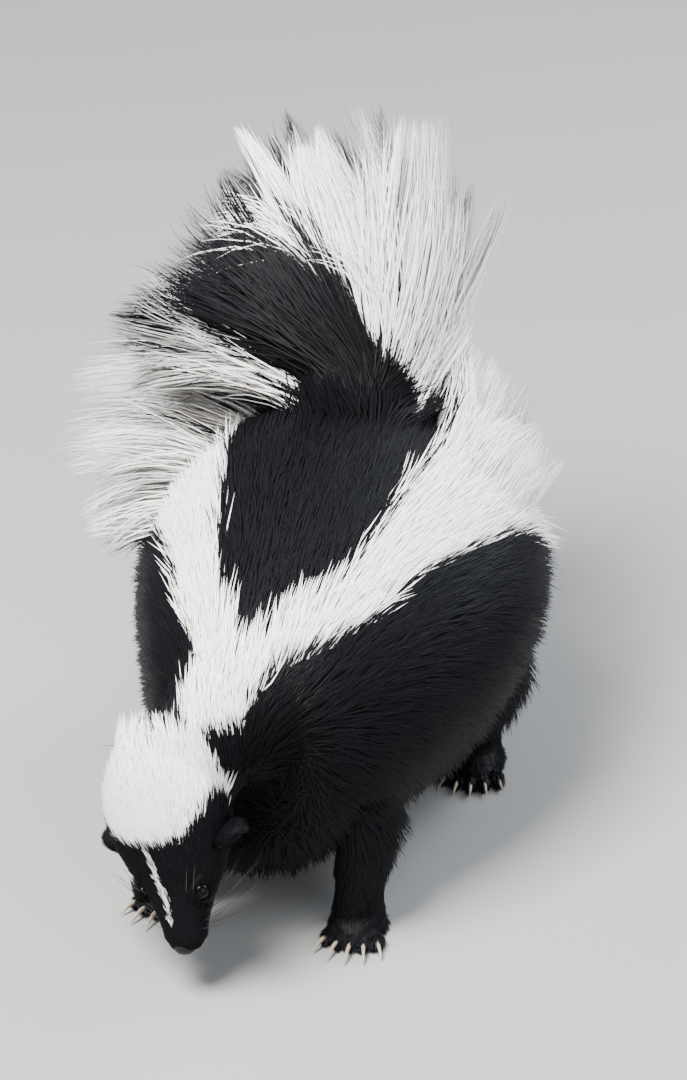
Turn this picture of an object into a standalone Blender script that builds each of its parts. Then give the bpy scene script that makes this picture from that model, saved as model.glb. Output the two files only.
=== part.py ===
"""A life-size striped skunk, nose to the ground and tail raised, as separate closed solids.

Metres, +Z up. The skunk faces -Y, its left side is +X, and its soles are at Z = 0.
"""

import math
import random

import bmesh
import bpy
from mathutils import Matrix, Vector
from mathutils.bvhtree import BVHTree

GAP = 0.0003  # between neighbours
MERGE = 0.000001
MOST_SHELL = 1.5  # how much further corners are pushed than flats
FAR = 0.3  # past the whole model
RELAX_STEPS = 4
BETWEEN_ROWS = 3  # rows of a loft for each row given
VOXEL = 0.0030  # the cell that blends trunk, neck, head and legs into one body
BODY_SHARE = 0.055  # of the blended body's triangles that are kept
TRUNK_SIDES, NECK_SIDES, LIMB_SIDES = 28, 24, 16  # of the loops round trunk, neck and head, and limbs
ACROSS = Vector((1, 0, 0))
ALONG = Vector((0, 1, 0))
UP = Vector((0, 0, 1))

# The coat's outer surface along the trunk:
# (X, Y, middle Z, half width, rise above the middle, drop below it)
TRUNK = (
    (0.000, 0.150, 0.112, 0.024, 0.026, 0.028),
    (0.000, 0.134, 0.112, 0.062, 0.050, 0.062),
    (0.001, 0.100, 0.110, 0.090, 0.070, 0.078),
    (0.003, 0.050, 0.108, 0.100, 0.080, 0.082),
    (0.007, 0.000, 0.104, 0.091, 0.076, 0.078),
    (0.008, -0.050, 0.098, 0.072, 0.068, 0.072),
    (0.006, -0.084, 0.096, 0.052, 0.056, 0.066),
    (0.003, -0.098, 0.098, 0.036, 0.038, 0.050),
)
# (centre, half width, rise, drop, degrees that the section looks down)
NECK = (
    (0.006, -0.070, 0.100, 0.050, 0.054, 0.058, 0),
    (-0.006, -0.094, 0.102, 0.040, 0.040, 0.046, 20),
    (-0.019, -0.110, 0.096, 0.034, 0.029, 0.028, 45),
    (-0.022, -0.123, 0.079, 0.030, 0.020, 0.024, 64),
)

# The white stripes: (Y, degrees from their middle to the inner edge, to the outer edge,
# degrees that the middle lies left of the top)
STRIPES = (
    (-0.110, 0, 15, -20),
    (-0.090, 0, 24, -14),
    (-0.075, 9, 34, -7),
    (-0.055, 23, 43, -7),
    (-0.035, 28, 47, -7),
    (-0.010, 31, 53, -7),
    (0.020, 33, 63, -7),
    (0.050, 37, 73, -7),
    (0.080, 43, 82, -7),
    (0.100, 35, 84, -7),
    (0.120, 22, 85, -7),
    (0.160, 20, 85, -7),
)
CAP = (0.0435, 0.0285)  # the white cap's front edge along the head, and half its width
CAP_MIDDLE = -0.0020  # of the cap, out to the head's left
CAP_BACK = -0.012
BLAZE = (0.078, 0.0015)  # the same for the thin blaze below it

# The head's own frame: its origin inside the back of the skull, its axis running down to the nose.
HEAD_AT = Vector((-0.0310, -0.1115, 0.1022))
HEAD_FORWARD = Vector((0.27, -0.38, -0.925)).normalized()
HEAD_UP = Vector((-0.425, -0.831, 0.341))
# (distance from the back of the skull, half width, crown above the axis, jaw below it)
HEAD = (
    (-0.006, 0.026, 0.016, 0.020),
    (0.010, 0.0315, 0.0225, 0.025),
    (0.026, 0.0345, 0.0220, 0.025),
    (0.040, 0.0312, 0.0185, 0.022),
    (0.053, 0.0245, 0.0130, 0.0175),
    (0.064, 0.0175, 0.0090, 0.0135),
    (0.075, 0.0120, 0.0075, 0.0110),
    (0.083, 0.0100, 0.0062, 0.0085),
    (0.087, 0.0070, 0.0045, 0.0050),
)
HEAD_SQUARE = 2.2
HEAD_CUT = 0.004  # where the head is parted from the neck, along its axis
# Room for it past the cut: sideways, along, towards the jaw and towards the crown
HEAD_BLOCK = (0.037, 0.110, 0.028, 0.060)
NECK_CUT_AT = Vector((0.0, -0.084, 0.10))
NECK_CUT_TURN = 16  # degrees that the cut between torso and neck looks down

EYE_RADIUS = 0.0042
EYE_AT = 0.0600  # along the head's axis
EYE_OUT = 0.0168  # from the middle, sideways
EYE_RISE = 0.0036
EYE_AHEAD, EYE_UP = 0.35, 0.30  # how far ahead and up an eye looks, for one out
LID_RADIUS = 0.0013
LID_OUT = 0.0016  # from the eye's middle
EAR_AT = 0.0370
EAR_OUT = 0.0300
EAR_RISE = -0.0040
EAR_SIZE = (0.0085, 0.0045, 0.0110)  # half its width, depth and height
EAR_WALL = 0.0014
EAR_LEAN = 84  # degrees that an ear leans out from the crown
EAR_FACE = 30  # degrees that its cup turns outwards
EAR_BACK = 0.15  # how far it leans back
EAR_DEEP = 0.75  # of its half depth that the hollow's middle lies ahead
NOSE_AT = 0.0850
NOSE_SIZE = (0.0056, 0.0042, 0.0046)
NOSE_RISE = 0.0006
NOSTRIL = (0.0014, 0.0018, 0.0011)
NOSTRIL_RISE = 0.0004
MOUTH_BACK = 0.062  # the corner of the mouth, along the head's axis
MOUTH_FRONT = 0.0835
MOUTH_LOW = 0.45  # of the way down the side of the muzzle
MOUTH_STEPS = 5
MOUTH_CURVE = 1.5
MOUTH_WIDEN = 1.6  # how soon the line reaches the muzzle's side
LIP = 0.0011
MOUTH_LINE = 0.0005

# (X, Y, Z, half width, half depth) down the left leg, the right one mirrored
FORELEG = (
    (0.036, -0.054, 0.092, 0.020, 0.032),
    (0.043, -0.058, 0.068, 0.021, 0.029),
    (0.045, -0.064, 0.045, 0.0165, 0.020),
    (0.044, -0.067, 0.026, 0.0125, 0.0145),
    (0.043, -0.068, 0.010, 0.0120, 0.0140),
)
HIND_LEG = (
    (0.060, 0.056, 0.105, 0.032, 0.052),
    (0.066, 0.058, 0.075, 0.029, 0.045),
    (0.065, 0.072, 0.046, 0.0185, 0.026),
    (0.061, 0.084, 0.026, 0.0135, 0.0165),
    (0.060, 0.087, 0.010, 0.0130, 0.0160),
)
FORELEGS_LEFT = 0.005  # how far the forelegs stand left of the hind ones
LEG_SQUARE = 2.1
ANKLE = 0.0165  # where legs and paws meet
SOLE_CUT = 0.0008  # taken off the rounded soles to make flats
# A paw: (ankle's X and Y, ankle's half width and depth, sole's half width,
# heel behind and toes before the ankle, claw length, degrees it turns outwards)
FOREPAW = (0.0435, -0.0677, 0.0126, 0.0146, 0.0130, 0.0120, 0.0200, 0.0125, 6)
HIND_PAW = (0.0602, 0.0865, 0.0136, 0.0167, 0.0140, 0.0180, 0.0300, 0.0085, 12)
TOES = 5
TOE_SPREAD = 0.42  # how far the outer toes point outwards
TOE_SET = (0.86, 0.16, 0.74)  # of the sole: how far ahead, how much less at the sides, how far out
# (height, share of the sole) up a paw's pad
PAD_SHAPE = ((-0.0006, 0.86), (0.0035, 1.0), (0.0085, 0.85))
PAD_MIDDLE = 0.45  # of the way that the toes reach further than the heel
PAD_NECK = (0.002, 0.0125, 0.98)  # the loop between pad and ankle: ahead, height, share of the ankle
# (share of its length, share of its radius) down a claw
CLAW_SHAPE = ((-0.3, 1), (0.35, 0.85), (0.75, 0.5), (1, 0.1))
CLAW_RISE, CLAW_BEND = 0.10, 0.42
OUTER_CLAW = 0.18  # how much shorter the outer claws are
TOE_RADIUS = 0.0036
TOE_SHAPE = (1, 2.0, 1.15)  # sideways, along and up
CLAW_RADIUS = 0.0013
CLAW_AT = 1.6  # toe radii ahead of the toe's middle
CLAW_HEIGHT = 0.0006  # above it
LEG_TOP = 0.031  # height of the leg's cut on its inner side
LEG_SLOPE = 31  # degrees that the cut rises outwards
LEG_INNER = 0.024  # X where the cut starts
LEG_SPARE = 0.001
# (name, lowest Y, highest Y) of the space that each leg is cut from
LEG_SPACES = (("foreleg", -0.102, -0.030), ("hind_leg", 0.012, 0.112))

# The tail's core: (centre, radius)
TAIL = (
    (0.000, 0.092, 0.158, 0.027),
    (0.000, 0.104, 0.184, 0.024),
    (-0.010, 0.116, 0.202, 0.020),
    (-0.025, 0.132, 0.213, 0.016),
    (-0.040, 0.145, 0.216, 0.011),
    (-0.047, 0.151, 0.216, 0.005),
)
TAIL_SEED, RUMP_SEED = 7, 11
TAIL_ROWS = 9  # of locks along the core
TAIL_ROUND = 13  # locks round its thick end
LOCK_WIDTH = 0.0140
LOCK_THICKNESS = 0.0022
RUMP_GUIDES = 7  # how many guide hairs, the last ones below, stand on the rump
RUMP_BACK = 0.130  # Y past which the rump's long coat covers the black too
RUMP_REACH = 0.029
RUMP_SPACING = 0.0132
RUMP_LOW = 0.108  # no lock is rooted lower
TAIL_CLEAR = 0.030  # locks on the rump keep this far from the middle of the tail's root

# Guide hairs of the long coat on tail and rump, whose lie, length and colour the locks between them share:
# (root, direction, length, how far it sags as a share of its length, whether it is white).
GUIDES = (
    ((0.001, 0.113, 0.218), (-0.25, 0.45, 0.86), 0.097, 0.04, 1),
    ((0.007, 0.112, 0.211), (-0.18, 0.46, 0.87), 0.120, 0.04, 1),
    ((0.015, 0.113, 0.203), (-0.11, 0.48, 0.87), 0.129, 0.04, 1),
    ((0.021, 0.111, 0.194), (-0.02, 0.52, 0.86), 0.114, 0.04, 1),
    ((0.024, 0.107, 0.187), (0.21, 0.57, 0.80), 0.106, 0.05, 1),
    ((0.029, 0.106, 0.178), (0.16, 0.64, 0.75), 0.082, 0.05, 1),
    ((0.010, 0.132, 0.194), (-0.21, 0.80, 0.56), 0.130, 0.06, 1),
    ((-0.012, 0.138, 0.212), (-0.31, 0.73, 0.61), 0.106, 0.05, 1),
    ((-0.040, 0.156, 0.222), (-0.51, 0.34, 0.79), 0.075, 0.05, 1),
    ((-0.018, 0.134, 0.227), (-0.39, 0.40, 0.83), 0.069, 0.04, 1),
    ((-0.024, 0.116, 0.196), (-0.81, -0.35, 0.47), 0.134, 0.20, 1),
    ((-0.030, 0.112, 0.184), (-0.81, -0.35, 0.47), 0.142, 0.24, 1),
    ((0.000, 0.078, 0.185), (-0.51, 0.45, 0.73), 0.038, 0.05, 0),
    ((0.021, 0.086, 0.184), (0.67, 0.65, 0.36), 0.028, 0.10, 0),
    ((-0.018, 0.080, 0.182), (-0.43, 0.49, 0.76), 0.033, 0.05, 0),
    ((0.002, 0.098, 0.211), (-0.66, 0.27, 0.70), 0.074, 0.03, 0),
    ((-0.010, 0.103, 0.216), (-0.78, 0.19, 0.59), 0.074, 0.04, 0),
    ((-0.008, 0.090, 0.203), (-0.69, -0.19, 0.70), 0.096, 0.04, 0),
    ((-0.022, 0.104, 0.212), (-0.82, -0.33, 0.48), 0.091, 0.05, 0),
    ((-0.021, 0.097, 0.200), (-0.82, -0.34, 0.45), 0.104, 0.06, 0),
    ((-0.023, 0.093, 0.190), (-0.81, -0.32, 0.48), 0.094, 0.08, 0),
    ((-0.044, 0.140, 0.220), (-0.94, 0.03, 0.34), 0.062, 0.06, 0),
    ((-0.006, 0.126, 0.172), (-0.10, 0.92, -0.30), 0.060, 0.15, 0),
    ((0.040, 0.105, 0.176), (-0.09, 0.61, 0.79), 0.028, 0.06, 1),
    ((0.066, 0.098, 0.160), (0.34, 0.70, 0.62), 0.024, 0.05, 1),
    ((-0.045, 0.100, 0.172), (-0.81, -0.35, 0.47), 0.126, 0.26, 1),
    ((-0.068, 0.090, 0.158), (-0.85, -0.40, 0.35), 0.089, 0.26, 1),
    ((-0.080, 0.078, 0.143), (-0.86, -0.50, 0.11), 0.054, 0.22, 1),
    ((-0.092, 0.058, 0.124), (-0.70, 0.10, -0.60), 0.034, 0.10, 1),
    ((0.000, 0.148, 0.125), (0.00, 0.75, -0.65), 0.036, 0.10, 0),
)
# (share of its length, share of its width, share of its thickness) down a lock
LOCK_SHAPE = ((-0.2, 0.75, 1.0), (0.18, 1.0, 1.0), (0.6, 0.8, 0.6), (1, 0.02, 0.1))
LOCK_ROOT = 0.0055  # how deep a lock is rooted
LOCK_LIFT = 0.45  # how much it leaves along the skin's outward direction
LOCK_FACING = (0, -0.7, 0.1)  # where its flat side leans
# How much locks differ in direction, turn and bend
LOCK_SPREAD = 0.10
LOCK_TWIST = 0.15
LOCK_SWERVE = 0.10
# The least and the most share of length, width and droop
LOCK_LENGTHS = (0.82, 1.08)
LOCK_WIDTHS = (0.8, 1.15)
LOCK_DROOPS = (0.4, 1.5)
SHORTER_LOCKS = (1.0, 0.8, 0.6, 0.45)  # tried in turn where there is little room
TAIL_SIDES = 16
TAIL_LEAST = 5  # locks round its thin end
TAIL_UNEVEN = 0.2
TAIL_SPARE = 1.6  # steps of the core past the last row of locks
GUIDE_REACH = 0.008  # within this distance of its root a guide hair has its full say
# The tail is black up its front, where its skin faces near a direction that turns between two heights,
# round below towards its end, and low down its back.
BAND_HEIGHTS = (0.188, 0.206)
BAND_WAYS = ((0.00, -0.97, 0.20), (-0.68, -0.66, 0.30))
BAND_SHARE = 0.39  # the least cosine to that direction
END_FROM = -0.014  # X past which the band reaches round below
END_LOW = 0.20
END_SHARE = -0.20
BACK_WAY = (0.15, 0.97, -0.20)
BACK_SHARE = 0.88
BACK_TOP = 0.195

BLACK = (0.012, 0.012, 0.014, 1)
WHITE = (0.86, 0.84, 0.78, 1)
EYE_BLACK = (0.008, 0.007, 0.007, 1)
NOSE_GREY = (0.045, 0.038, 0.036, 1)


def clear_scene():
    for thing in list(bpy.data.objects):
        bpy.data.objects.remove(thing)


def material(name, colour, roughness):
    made = bpy.data.materials.new(name)
    made.use_nodes = True
    shader = made.node_tree.nodes["Principled BSDF"]
    shader.inputs["Base Color"].default_value = colour
    shader.inputs["Roughness"].default_value = roughness
    shader.inputs["Metallic"].default_value = 0.0
    return made


def collection(name):
    made = bpy.data.collections.new(name)
    bpy.context.scene.collection.children.link(made)
    return made


def smooth_rows(stations, between):
    """Catmull-Rom rows through the stations, each a tuple of numbers."""
    rows = [tuple(float(v) for v in row) for row in stations]
    padded = [rows[0], *rows, rows[-1]]
    found = []
    for i in range(len(rows) - 1):
        four = padded[i : i + 4]
        for step in range(between):
            t = step / between
            found.append([catmull(*values, t) for values in zip(*four)])
    found.append(list(rows[-1]))
    return found


def catmull(a, b, c, d, t):
    return 0.5 * (2 * b + (c - a) * t + (2 * a - 5 * b + 4 * c - d) * t**2 + (3 * b - a - 3 * c + d) * t**3)


def ring(centre, side, up, half_width, rise, drop, sides, square=2.3):
    """Points round an egg-shaped section, whose corners fill out as square grows past 2."""
    points = []
    for i in range(sides):
        angle = 2 * math.pi * i / sides
        c, s = math.cos(angle), math.sin(angle)
        across = math.copysign(abs(c) ** (2 / square), c) * half_width
        above = math.copysign(abs(s) ** (2 / square), s) * (rise if s > 0 else drop)
        points.append(centre + side * across + up * above)
    return points


def loft(name, rings, pointed=False):
    """One closed mesh through the rings. A pointed one ends in the last ring's middle."""
    shape = bmesh.new()
    rows = [[shape.verts.new(p) for p in row] for row in rings]
    sides = len(rows[0])
    for a, b in zip(rows, rows[1:]):
        for i in range(sides):
            j = (i + 1) % sides
            shape.faces.new((a[i], a[j], b[j], b[i]))
    for row in (rows[0], rows[-1]):
        shape.faces.new(row)
    if pointed:
        middle = sum((v.co for v in rows[-1]), Vector()) / sides
        bmesh.ops.pointmerge(shape, verts=rows[-1], merge_co=middle)
    bmesh.ops.triangulate(shape, faces=shape.faces)
    bmesh.ops.recalc_face_normals(shape, faces=shape.faces)
    return from_bmesh(name, shape)


def from_bmesh(name, shape):
    mesh = bpy.data.meshes.new(name)
    shape.to_mesh(mesh)
    shape.free()
    thing = bpy.data.objects.new(name, mesh)
    bpy.context.scene.collection.objects.link(thing)
    return thing


def box(name, low, high, turn=Matrix.Identity(3), at=Vector()):
    shape = bmesh.new()
    bmesh.ops.create_cube(shape, size=1)
    low, high = Vector(low), Vector(high)
    for v in shape.verts:
        v.co = Vector((low[i] + (v.co[i] + 0.5) * (high[i] - low[i]) for i in range(3)))
        v.co = at + turn @ v.co
    return from_bmesh(name, shape)


def ball(name, at, radii, axes=Matrix.Identity(3), segments=12, rings=8):
    shape = bmesh.new()
    bmesh.ops.create_uvsphere(shape, u_segments=segments, v_segments=rings, radius=1)
    for v in shape.verts:
        v.co = at + axes @ Vector((v.co[i] * radii[i] for i in range(3)))
    bmesh.ops.triangulate(shape, faces=shape.faces)
    return from_bmesh(name, shape)


def baked(thing):
    """Swaps the mesh for what the modifiers make of it."""
    made = bpy.data.meshes.new_from_object(thing.evaluated_get(bpy.context.evaluated_depsgraph_get()))
    thing.modifiers.clear()
    thing.data = made
    return thing


def boolean(thing, tools, operation, crossed=False):
    """Joins, cuts or keeps the part inside of the tools, which are removed. A crossed tool meets itself."""
    cutters = collection("cutters")
    for tool in tools:
        for home in list(tool.users_collection):
            home.objects.unlink(tool)
        cutters.objects.link(tool)
    step = thing.modifiers.new("step", "BOOLEAN")
    step.operation = operation
    step.operand_type = "COLLECTION"
    step.collection = cutters
    step.use_self = crossed
    step.material_mode = "TRANSFER"
    baked(thing)
    for tool in tools:
        bpy.data.objects.remove(tool)
    bpy.data.collections.remove(cutters)
    return one_body(thing)


def one_body(thing):
    """Keeps the largest closed surface, merged and triangulated."""
    shape = bmesh.new()
    shape.from_mesh(thing.data)
    bmesh.ops.remove_doubles(shape, verts=shape.verts, dist=MERGE)
    bmesh.ops.dissolve_degenerate(shape, edges=shape.edges, dist=MERGE)
    bmesh.ops.triangulate(shape, faces=shape.faces)
    left = set(shape.faces)
    bodies = []
    while left:
        body = {left.pop()}
        edge_of_growth = list(body)
        while edge_of_growth:
            face = edge_of_growth.pop()
            for edge in face.edges:
                for other in edge.link_faces:
                    if other in left:
                        left.remove(other)
                        body.add(other)
                        edge_of_growth.append(other)
        bodies.append(body)
    keep = max(bodies, key=lambda body: abs(volume(body)))
    bmesh.ops.delete(shape, geom=[f for body in bodies if body is not keep for f in body], context="FACES")
    shape.to_mesh(thing.data)
    shape.free()
    return thing


def volume(faces):
    return sum(f.calc_center_median().dot(f.normal) * f.calc_area() for f in faces) / 3


def copied(thing, grown=0.0):
    """A copy whose surface is pushed out along its normals."""
    other = thing.copy()
    other.data = thing.data.copy()
    bpy.context.scene.collection.objects.link(other)
    if grown:
        shape = bmesh.new()
        shape.from_mesh(other.data)
        shape.normal_update()
        places = [v.co + v.normal * grown * min(v.calc_shell_factor(), MOST_SHELL) for v in shape.verts]
        for v, place in zip(shape.verts, places):
            v.co = place
        shape.to_mesh(other.data)
        shape.free()
    return other


def carve_clear(thing, neighbour):
    """Cuts a piece so that it meets its neighbour face to face."""
    return boolean(thing, [copied(neighbour, GAP)], "DIFFERENCE", crossed=True)


def joined(things, name):
    first = things[0]
    with bpy.context.temp_override(active_object=first, object=first, selected_editable_objects=things):
        bpy.ops.object.join()
    things[0].name = name
    return things[0]


def trunk():
    rings = []
    for x, y, z, half_width, rise, drop in smooth_rows(TRUNK, BETWEEN_ROWS):
        rings.append(ring(Vector((x, y, z)), ACROSS, UP, half_width, rise, drop, TRUNK_SIDES))
    return loft("trunk", rings)


def neck_loft():
    rings = []
    for x, y, z, half_width, rise, drop, turn in smooth_rows(NECK, BETWEEN_ROWS):
        up = Vector((0, -math.sin(math.radians(turn)), math.cos(math.radians(turn))))
        rings.append(ring(Vector((x, y, z)), ACROSS, up, half_width, rise, drop, NECK_SIDES))
    return loft("neck", rings)


def head_axes():
    """Columns: the head's right, its forward and its up."""
    right = HEAD_FORWARD.cross(HEAD_UP).normalized()
    return Matrix((right, HEAD_FORWARD, right.cross(HEAD_FORWARD))).transposed()


def head_way(along, out, rise):
    """A direction in the head's frame, with out to its left."""
    return head_axes() @ Vector((-out, along, rise))


def on_head(along, out, rise):
    return HEAD_AT + head_way(along, out, rise)


def head_loft():
    axes = head_axes()
    rings = []
    for along, half_width, crown, jaw in smooth_rows(HEAD, BETWEEN_ROWS):
        at = HEAD_AT + axes.col[1] * along
        rings.append(ring(at, axes.col[0], axes.col[2], half_width, crown, jaw, NECK_SIDES, HEAD_SQUARE))
    return loft("head", rings)


def between(rows, at):
    """The values of the rows at a place between the first numbers of two of them."""
    low = max((row for row in rows if row[0] <= at), key=lambda row: row[0], default=min(rows))
    high = min((row for row in rows if row[0] >= at), key=lambda row: row[0], default=max(rows))
    share = (at - low[0]) / (high[0] - low[0]) if high[0] > low[0] else 0
    return [a + (b - a) * share for a, b in zip(low[1:], high[1:])]


def is_white(point):
    """Whether the coat is white at a point of trunk, neck or head."""
    right, along, rise = head_axes().transposed() @ (point - HEAD_AT)
    if along > CAP_BACK and rise > 0:
        cap = (max(along, 0) / CAP[0]) ** 2 + ((right + CAP_MIDDLE) / CAP[1]) ** 2 < 1
        return cap or (along < BLAZE[0] and abs(right) < BLAZE[1])
    x, z = between([(y, x, z) for x, y, z, *_ in TRUNK], point.y)
    angle = math.degrees(math.atan2(point.x - x, point.z - z))
    inner, outer, lean = between(STRIPES, point.y)
    return inner <= abs(angle - lean) <= outer


def paint(thing):
    """Gives each face the black or the white coat."""
    thing.data.materials.clear()
    for coat in coats():
        thing.data.materials.append(coat)
    for face in thing.data.polygons:
        face.material_index = int(is_white(face.center))


def across_at(x, y, side):
    """X of a leg or a paw, from its place on the left of a pair."""
    return side * x + (FORELEGS_LEFT if y < 0 else 0)


def leg_loft(sections, side):
    rings = []
    for x, y, z, half_width, half_depth in smooth_rows(sections, BETWEEN_ROWS):
        at = Vector((across_at(x, y, side), y, z))
        rings.append(ring(at, ACROSS, ALONG, half_width, half_depth, half_depth, LIMB_SIDES, LEG_SQUARE))
    return loft("leg", rings)


def flesh():
    """Trunk, neck, head and legs, blended into one skin."""
    pieces = [trunk(), neck_loft(), head_loft()]
    for sections in (FORELEG, HIND_LEG):
        pieces += [leg_loft(sections, side) for side in (1, -1)]
    body = joined(pieces, "flesh")
    blend = body.modifiers.new("blend", "REMESH")
    blend.mode = "VOXEL"
    blend.voxel_size = VOXEL
    relax = body.modifiers.new("relax", "SMOOTH")
    relax.iterations = RELAX_STEPS
    fewer = body.modifiers.new("fewer", "DECIMATE")
    fewer.ratio = BODY_SHARE
    return one_body(baked(body))


def leg_block(side, low_y, high_y, grow):
    """The space of one leg: out from near the middle, below a cut that rises outwards."""
    turn = Matrix.Rotation(math.radians(-LEG_SLOPE * side), 3, "Y")
    at = Vector((side * LEG_INNER, 0, LEG_TOP + grow))
    low = (-LEG_SPARE - grow if side > 0 else -FAR, low_y - grow, -FAR)
    high = (FAR if side > 0 else LEG_SPARE + grow, high_y + grow, 0)
    return box("block", low, high, turn, at)


def head_block(grow):
    """The space of the head, past its cut from the neck and in front of its jaw."""
    wide, long, jaw, crown = HEAD_BLOCK
    low = (-wide - grow, HEAD_CUT - grow, -jaw - grow)
    high = (wide + grow, long + grow, crown + grow)
    return box("block", low, high, head_axes(), HEAD_AT)


def plane_block(at, normal, shift):
    """A large block that starts at a plane and lies on its normal's side."""
    turn = normal.to_track_quat("Z", "Y").to_matrix()
    return box("block", (-FAR, -FAR, 0), (FAR, FAR, 2 * FAR), turn, at + normal * shift)


def tail_is_white(root, outward):
    """Whether the tail is white at a root: all but the bands up its front and down its back."""
    low, high = BAND_HEIGHTS
    share = min(max((root.z - low) / (high - low), 0), 1)
    low_way, high_way = (Vector(way).normalized() for way in BAND_WAYS)
    front = low_way.lerp(high_way, share).normalized()
    below = root.x < END_FROM and outward.z < END_LOW and root.z > high
    least = END_SHARE if below else BAND_SHARE
    behind = outward.dot(Vector(BACK_WAY).normalized()) > BACK_SHARE and root.z < BACK_TOP
    return outward.dot(front) < least and not behind


def lie(root, guides):
    """Direction, length and sag of the long coat at a root, blended between guide hairs."""
    total, direction, length, sag = 0.0, Vector(), 0.0, 0.0
    for guide, way, reach, sinks, _ in guides:
        weight = 1 / ((root - Vector(guide)).length_squared + GUIDE_REACH**2) ** 2
        total += weight
        direction += Vector(way).normalized() * weight
        length += reach * weight
        sag += sinks * weight
    return direction.normalized(), length / total, sag / total


def lock(root, outward, guides, is_pale, draw, scale=1.0):
    """A flat tapered lock: it leaves its root outwards, bends into the lie of its guides and droops."""
    way, length, sag = lie(root, guides)
    way = (way + Vector([draw.gauss(0, LOCK_SPREAD) for _ in range(3)])).normalized()
    length *= draw.uniform(*LOCK_LENGTHS) * scale
    start = (outward * LOCK_LIFT + way).normalized()
    side = way.cross(outward + Vector(LOCK_FACING))
    side = (side.normalized() + Vector([draw.gauss(0, LOCK_TWIST) for _ in range(3)])).normalized()
    width = LOCK_WIDTH * draw.uniform(*LOCK_WIDTHS)
    droop = Vector((0, 0, -sag * length)) * draw.uniform(*LOCK_DROOPS)
    swerve = side * length * draw.uniform(-LOCK_SWERVE, LOCK_SWERVE)
    rings = []
    for t, wide, thick in LOCK_SHAPE:
        t = max(t, -LOCK_ROOT / length)
        centre = root + (start * (1 - t) + way * t) * length * t + (droop + swerve) * t * t
        along = (start * (1 - t) + way * t).normalized()
        across = (side - along * side.dot(along)).normalized()
        deep = LOCK_THICKNESS / 2 * thick
        rings.append(ring(centre, across, along.cross(across), width / 2 * wide, deep, deep, 4, 2))
    made = loft("lock", rings, pointed=True)
    made.data.materials.append(coats()[is_pale])
    return made


def coats():
    return bpy.data.materials["black_coat"], bpy.data.materials["white_coat"]


def tail_core():
    rows = smooth_rows(TAIL, 2)
    rings = []
    for i, (x, y, z, radius) in enumerate(rows):
        after, before = rows[min(i + 1, len(rows) - 1)], rows[max(i - 1, 0)]
        along = Vector([a - b for a, b in zip(after[:3], before[:3])]).normalized()
        side = (ACROSS - along * along.x).normalized()
        at = Vector((x, y, z))
        rings.append(ring(at, side, side.cross(along), radius, radius, radius, TAIL_SIDES, 2))
    return loft("tail", rings), rings


def tail():
    draw = random.Random(TAIL_SEED)
    core, rings = tail_core()
    core.data.materials.append(coats()[1])
    locks = []
    for row in range(TAIL_ROWS):
        place = 1 + (len(rings) - 1 - TAIL_SPARE) * row / (TAIL_ROWS - 1)
        i, share = int(place), place - int(place)
        around = [a.lerp(b, share) for a, b in zip(rings[i], rings[i + 1])]
        middle = sum(around, Vector()) / len(around)
        radius = (around[0] - middle).length
        count = max(TAIL_LEAST, round(TAIL_ROUND * radius / TAIL[1][3]))
        for k in range(count):
            turn = (k + 0.5 * (row % 2) + draw.uniform(-TAIL_UNEVEN, TAIL_UNEVEN)) / count * len(around)
            a, b = around[int(turn) % len(around)], around[(int(turn) + 1) % len(around)]
            root = a.lerp(b, turn - int(turn))
            outward = (root - middle).normalized()
            is_pale = tail_is_white(root, outward)
            own = [guide for guide in GUIDES if guide[-1] == is_pale]
            locks.append(lock(root, outward, own, is_pale, draw))
    return boolean(core, locks, "UNION")


def surface_tree(thing):
    points = [v.co for v in thing.data.vertices]
    return BVHTree.FromPolygons(points, [f.vertices for f in thing.data.polygons])


def clear_lock(root, outward, draw, others):
    """A lock, made shorter until it passes through none of the others, or nothing."""
    state = draw.getstate()
    for scale in SHORTER_LOCKS:
        draw.setstate(state)
        made = lock(root, outward, GUIDES, is_white(root), draw, scale)
        if not any(surface_tree(made).overlap(other) for other in others):
            return [made]
        bpy.data.objects.remove(made)
    return []


def rump_locks(torso, neighbours):
    """Locks of the rump's long hair, set evenly round the guide hairs that stand there."""
    others = []
    for neighbour in neighbours:
        grown = copied(neighbour, GAP)
        others.append(surface_tree(grown))
        bpy.data.objects.remove(grown)
    draw = random.Random(RUMP_SEED)
    guides = [Vector(guide[0]) for guide in GUIDES[-RUMP_GUIDES:]]
    tail_root = Vector(TAIL[1][:3])
    faces = sorted(torso.data.polygons, key=lambda face: tuple(face.center))
    draw.shuffle(faces)
    taken, locks = [], []
    for face in faces:
        at = face.center.copy()
        near = min((at - guide).length for guide in guides) < RUMP_REACH
        apart = all((at - other).length > RUMP_SPACING for other in taken)
        long_haired = near and (is_white(at) or at.y > RUMP_BACK)
        if long_haired and apart and at.z > RUMP_LOW and (at - tail_root).length > TAIL_CLEAR:
            taken.append(at)
            locks += clear_lock(at, face.normal.copy(), draw, others)
    return locks


def claw(root, way, length):
    """A curved tapered claw."""
    side = way.cross(UP).normalized()
    rings = []
    for t, share in CLAW_SHAPE:
        centre = root + way * length * t + UP * (CLAW_RISE - CLAW_BEND * t * t) * length * (t > 0)
        radius = CLAW_RADIUS * share
        rings.append(ring(centre, side, side.cross(way), radius * 0.8, radius * 1.15, radius, 4, 2))
    return loft("claw", rings, pointed=True)


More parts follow.
